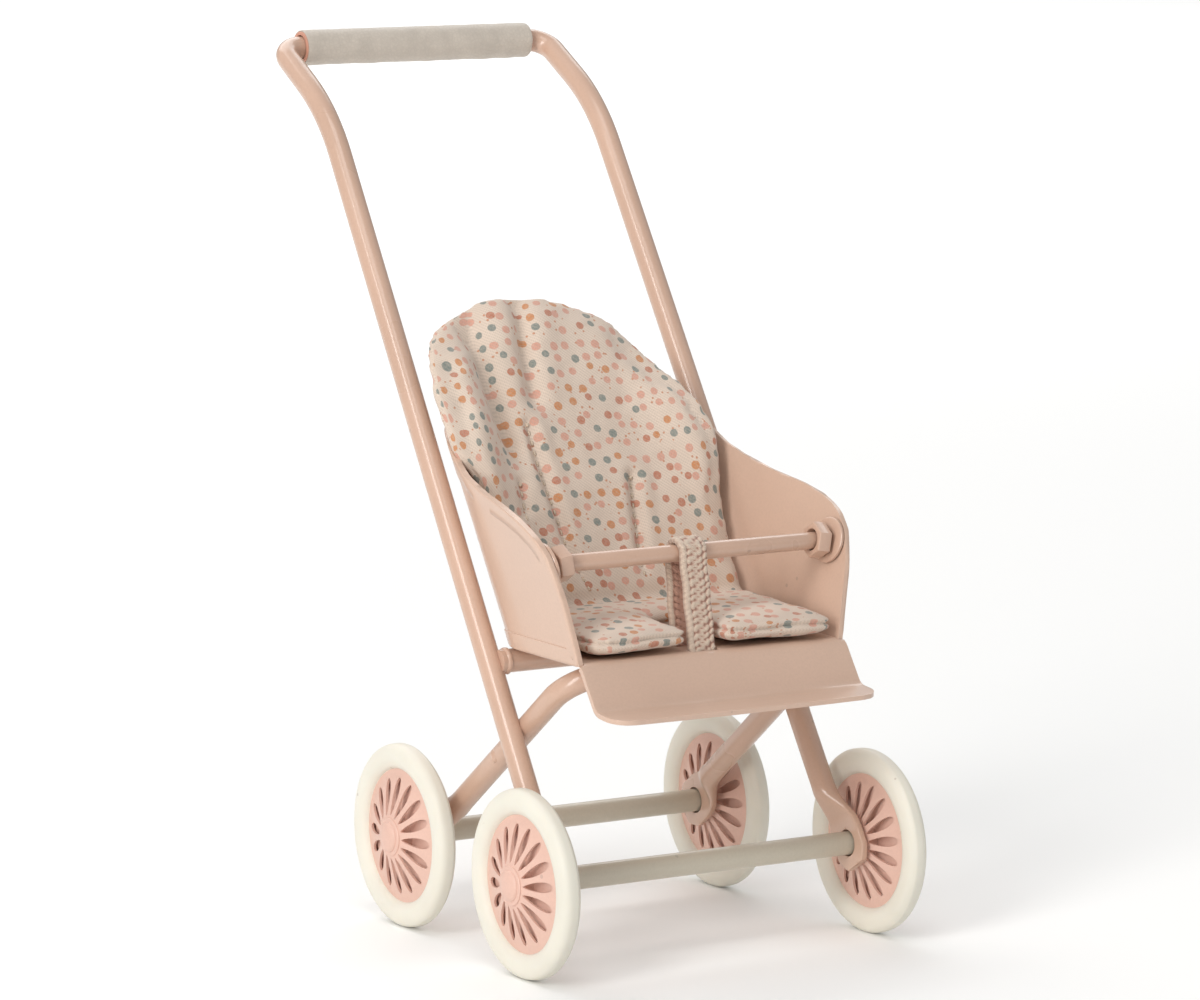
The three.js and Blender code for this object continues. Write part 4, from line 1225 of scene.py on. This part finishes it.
cloth.point_cache.frame_start, cloth.point_cache.frame_end = 1, cushion["steps"]
for step in range(1, cushion["steps"] + 1):
    bpy.context.scene.frame_set(step)
bpy.ops.object.modifier_apply(modifier=cloth.name)
bpy.context.scene.frame_set(1)
cap = unit * cushion["cap"]
moved = []
for vertex, start in zip(pad.data.vertices, before):
    move = vertex.co - start
    moved.append(move.length)
    if move.length > 0:
        vertex.co = start + move.normalized() * cap * math.tanh(move.length / cap)
print("cushion filled out, furthest point", round(max(moved) / unit, 2), "mm before the cap")
shape(pad, lambda point: point * 1000 / cushion["scale"])
modify(pad, "SMOOTH", factor=0.5, iterations=2)
modify(pad, "SUBSURF", levels=1, render_levels=1)

# seams and folds pressed in afterwards, each along a run of [across, up] places
pressed = [
    {"line": [[-3.9, 102], [-4.6, 95], [-5.8, 89], [-6.7, 82.6], [-7.2, 77]], "depth": 1.5,
     "half": 2.3},
    {"line": [[-14.6, 100], [-14.6, 92], [-14.9, 82], [-13.9, 74], [-12.2, 67.5]], "depth": 1.8,
     "half": 3.0},
    {"line": [[-9.7, 76], [-9.5, 66], [-9.0, 54], [-7.8, 46]], "depth": 1.2, "half": 1.4},
    {"line": [[6.6, 65.4], [4.8, 56], [3.0, 47]], "depth": 1.25, "half": 1.4},
    {"line": [[-14.4, 65.5], [-15.4, 59]], "depth": 0.7, "half": 1.3},
]


def nearLine(line, x, up):  # distance from a run of places, and the share along it
    best, share = 1e9, 0
    for i, ((x0, u0), (x1, u1)) in enumerate(zip(line, line[1:])):
        run = Vector((x1 - x0, u1 - u0))
        t = min(1, max(0, Vector((x - x0, up - u0)).dot(run) / run.length_squared))
        gap = math.hypot(x - x0 - run.x * t, up - u0 - run.y * t)
        if gap < best:
            best, share = gap, (i + t) / (len(line) - 1)
    return best, share


def seatPlace(point):
    offset = point - frontAxle
    return offset.dot(legForward), offset.dot(legUp)


def stitched(point, normal):
    forward, up = seatPlace(point)
    middleForward = cushion["backMiddle"] + curlAt(point.x, up)
    onBack = up > 44 and point.z > 55
    move = Vector()
    if onBack and forward > middleForward:
        for run in pressed:
            gap, share = nearLine(run["line"], point.x, up)
            ending = smooth(0, 0.08, share + 0.05) * smooth(1.02, 0.75, share)
            press = run["depth"] * math.exp(-(gap / run["half"] * 1.5) ** 2) * ending
            beside = (gap - run["half"] * 1.6) / run["half"]
            swell = 0.25 * run["depth"] * math.exp(-beside ** 2) * ending
            room = max(0, forward - middleForward + move.dot(legForward) - 0.25)
            move -= legForward * (min(press, room) - swell * min(1, room))
    if onBack:  # a plain seam round the edge of the back
        onEdge = smooth(0.75, 0.35, abs(normal.dot(legForward)))
        move -= normal * 0.4 * math.exp(-((forward - middleForward) / 0.4) ** 2) * onEdge
    elif point.y < -30:
        seamHeight = middle + 0.1 + 0.2 * math.sin(point.x * 0.5)
        onEdge = smooth(0.75, 0.35, abs(normal.z))
        move -= normal * 0.75 * math.exp(-((point.z - seamHeight) / 0.34) ** 2) * onEdge
    fold = math.hypot(point.z - cushion["foldHeight"], forward - cushion["foldForward"])
    move -= normal * 0.6 * math.exp(-(fold / 1.6) ** 2)
    soft = noise.noise(point * 0.16) * 0.35 + noise.noise(point * 0.42 + Vector((7, 0, 0))) * 0.14
    return point + move + normal * soft * 0.8


normals = [vertex.normal.copy() for vertex in pad.data.vertices]
for vertex, normal in zip(pad.data.vertices, normals):
    vertex.co = stitched(vertex.co, normal)
pad.data.update()
outwards(pad)


def clothPlace(point, normal):  # where a point lies on the flat cloth, its sides folded out
    forward, up = seatPlace(point)
    if point.z - 54.3 > forward - cushion["foldForward"]:  # on the back
        curl = curlAt(point.x, up)
        depth = max(0, cushion["backMiddle"] + curl + 2.2 - forward)
        across = point.x + math.copysign(curl * 0.5, point.x) + normal.x * depth
        return across, up - 47 + normal.dot(legUp) * depth
    depth = max(0, 54.0 - point.z)
    return point.x + normal.x * depth, point.y + 17.2 + normal.y * depth


if not pad.data.uv_layers:
    pad.data.uv_layers.new(name="UVMap")
flatCloth = pad.data.uv_layers[0]
flatCloth.name = "UVMap"
for face in pad.data.polygons:
    for corner in face.loop_indices:
        point = pad.data.vertices[pad.data.loops[corner].vertex_index]
        across, run = clothPlace(point.co, point.normal)
        flatCloth.data[corner].uv = (across / 100 + 0.5, run / 100 + 0.5)
soften(pad, 180)

stitches = []


def surfaceAt(x, up):  # a point on the front of the back, or nothing
    hit, place = pad.ray_cast(seatPoint(x, 30, up), -legForward)[:2]
    return place if hit else None


for run in pressed[2:]:
    corners = [Vector(point) for point in run["line"]]
    length = sum((b - a).length for a, b in zip(corners, corners[1:]))
    line = evenly(corners, max(2, int(length / 0.85)))
    for i in range(1, len(line) - 1, 2):
        first, last = surfaceAt(*line[i]), surfaceAt(*line[i + 1])
        if not first or not last:
            continue
        bpy.ops.mesh.primitive_uv_sphere_add(segments=8, ring_count=6, radius=1)
        stitch = bpy.context.object
        turn = (last - first).to_track_quat("X", "Z").to_matrix()
        size = Vector(((last - first).length * 0.56, 0.2, 0.2))
        spot = (first + last) / 2 + legForward * 0.1
        shape(stitch, lambda point: turn @ (point * size) + spot)
        stitches.append(stitch)
    end = surfaceAt(*run["line"][0])
    if end:
        spot = end + legForward * 0.1
        bpy.ops.mesh.primitive_ico_sphere_add(subdivisions=2, radius=0.32, location=spot)
        stitches.append(bpy.context.object)
thread = joined(*stitches)
soften(thread, 60)
putAway(pad, "seatCushion", cottonPaint, "printed_cotton", "frame", ["seat_cushion"])
putAway(thread, "cushionStitches", threadPaint, "printed_cotton", "frame")
print("cushion stitched")


# Floor, light and camera.

studio = {
    "eye": (-0.4492, -0.7480, 0.1933), "lookAt": (0.0, -0.0090, 0.0692), "lens": 161.8,
    "world": 0.4, "key": 7.6, "fill": 0.35, "top": 2.0, "back": 50.0,
}
bpy.ops.mesh.primitive_plane_add(size=6, location=(0, 0, 0))
floor = only(bpy.context.object)
floor.name = "studioFloor"
floorPaint = Paint("studioFloorPaint", Roughness=0.9)
floorPaint.set("Specular IOR Level", 0.1)
cloud = floorPaint.noise(floorPaint.place(), 3.0)
floorPaint.set("Base Color", floorPaint.mix(cloud, shaded(tones["floor"], 0.99), tones["floor"]))
floor.data.materials.append(floorPaint.material)


def softLight(name, place, aim, size, power, tint=(1, 1, 1)):
    bpy.ops.object.light_add(type="AREA", location=place)
    lamp = bpy.context.object
    lamp.name = name
    lamp.rotation_euler = (Vector(aim) - Vector(place)).to_track_quat("-Z", "Y").to_euler()
    lamp.data.shape = "RECTANGLE"
    lamp.data.size, lamp.data.size_y = size
    lamp.data.energy = power
    lamp.data.color = tint
    return lamp


aim = (0, 0, 0.07)
softLight("keyLight", (-0.95, -0.45, 0.5), aim, (0.32, 0.9), studio["key"], (1.0, 0.985, 0.965))
softLight("fillLight", (0.9, -0.5, 0.5), aim, (0.8, 0.8), studio["fill"])
softLight("topLight", (-0.25, -0.35, 1.0), aim, (0.5, 0.5), studio["top"])
softLight("floorLight", (0.6, 2.0, 1.7), (0.6, 1.95, 0), (3.0, 2.6), studio["back"])
world = bpy.data.worlds.new("studioWorld")
world.use_nodes = True
background = world.node_tree.nodes["Background"]
background.inputs["Color"].default_value = (1, 1, 1, 1)
background.inputs["Strength"].default_value = studio["world"]
bpy.context.scene.world = world
bpy.context.scene.view_settings.view_transform = "Standard"

bpy.ops.object.camera_add(location=studio["eye"])
camera = bpy.context.object
camera.name = "studioCamera"
view = Vector(studio["lookAt"]) - Vector(studio["eye"])
camera.rotation_euler = view.to_track_quat("-Z", "Y").to_euler()
camera.data.lens = studio["lens"]
camera.data.sensor_width = 36
camera.data.clip_start = 0.01
bpy.context.scene.camera = camera
print("floor, light and camera set")

objectMode()
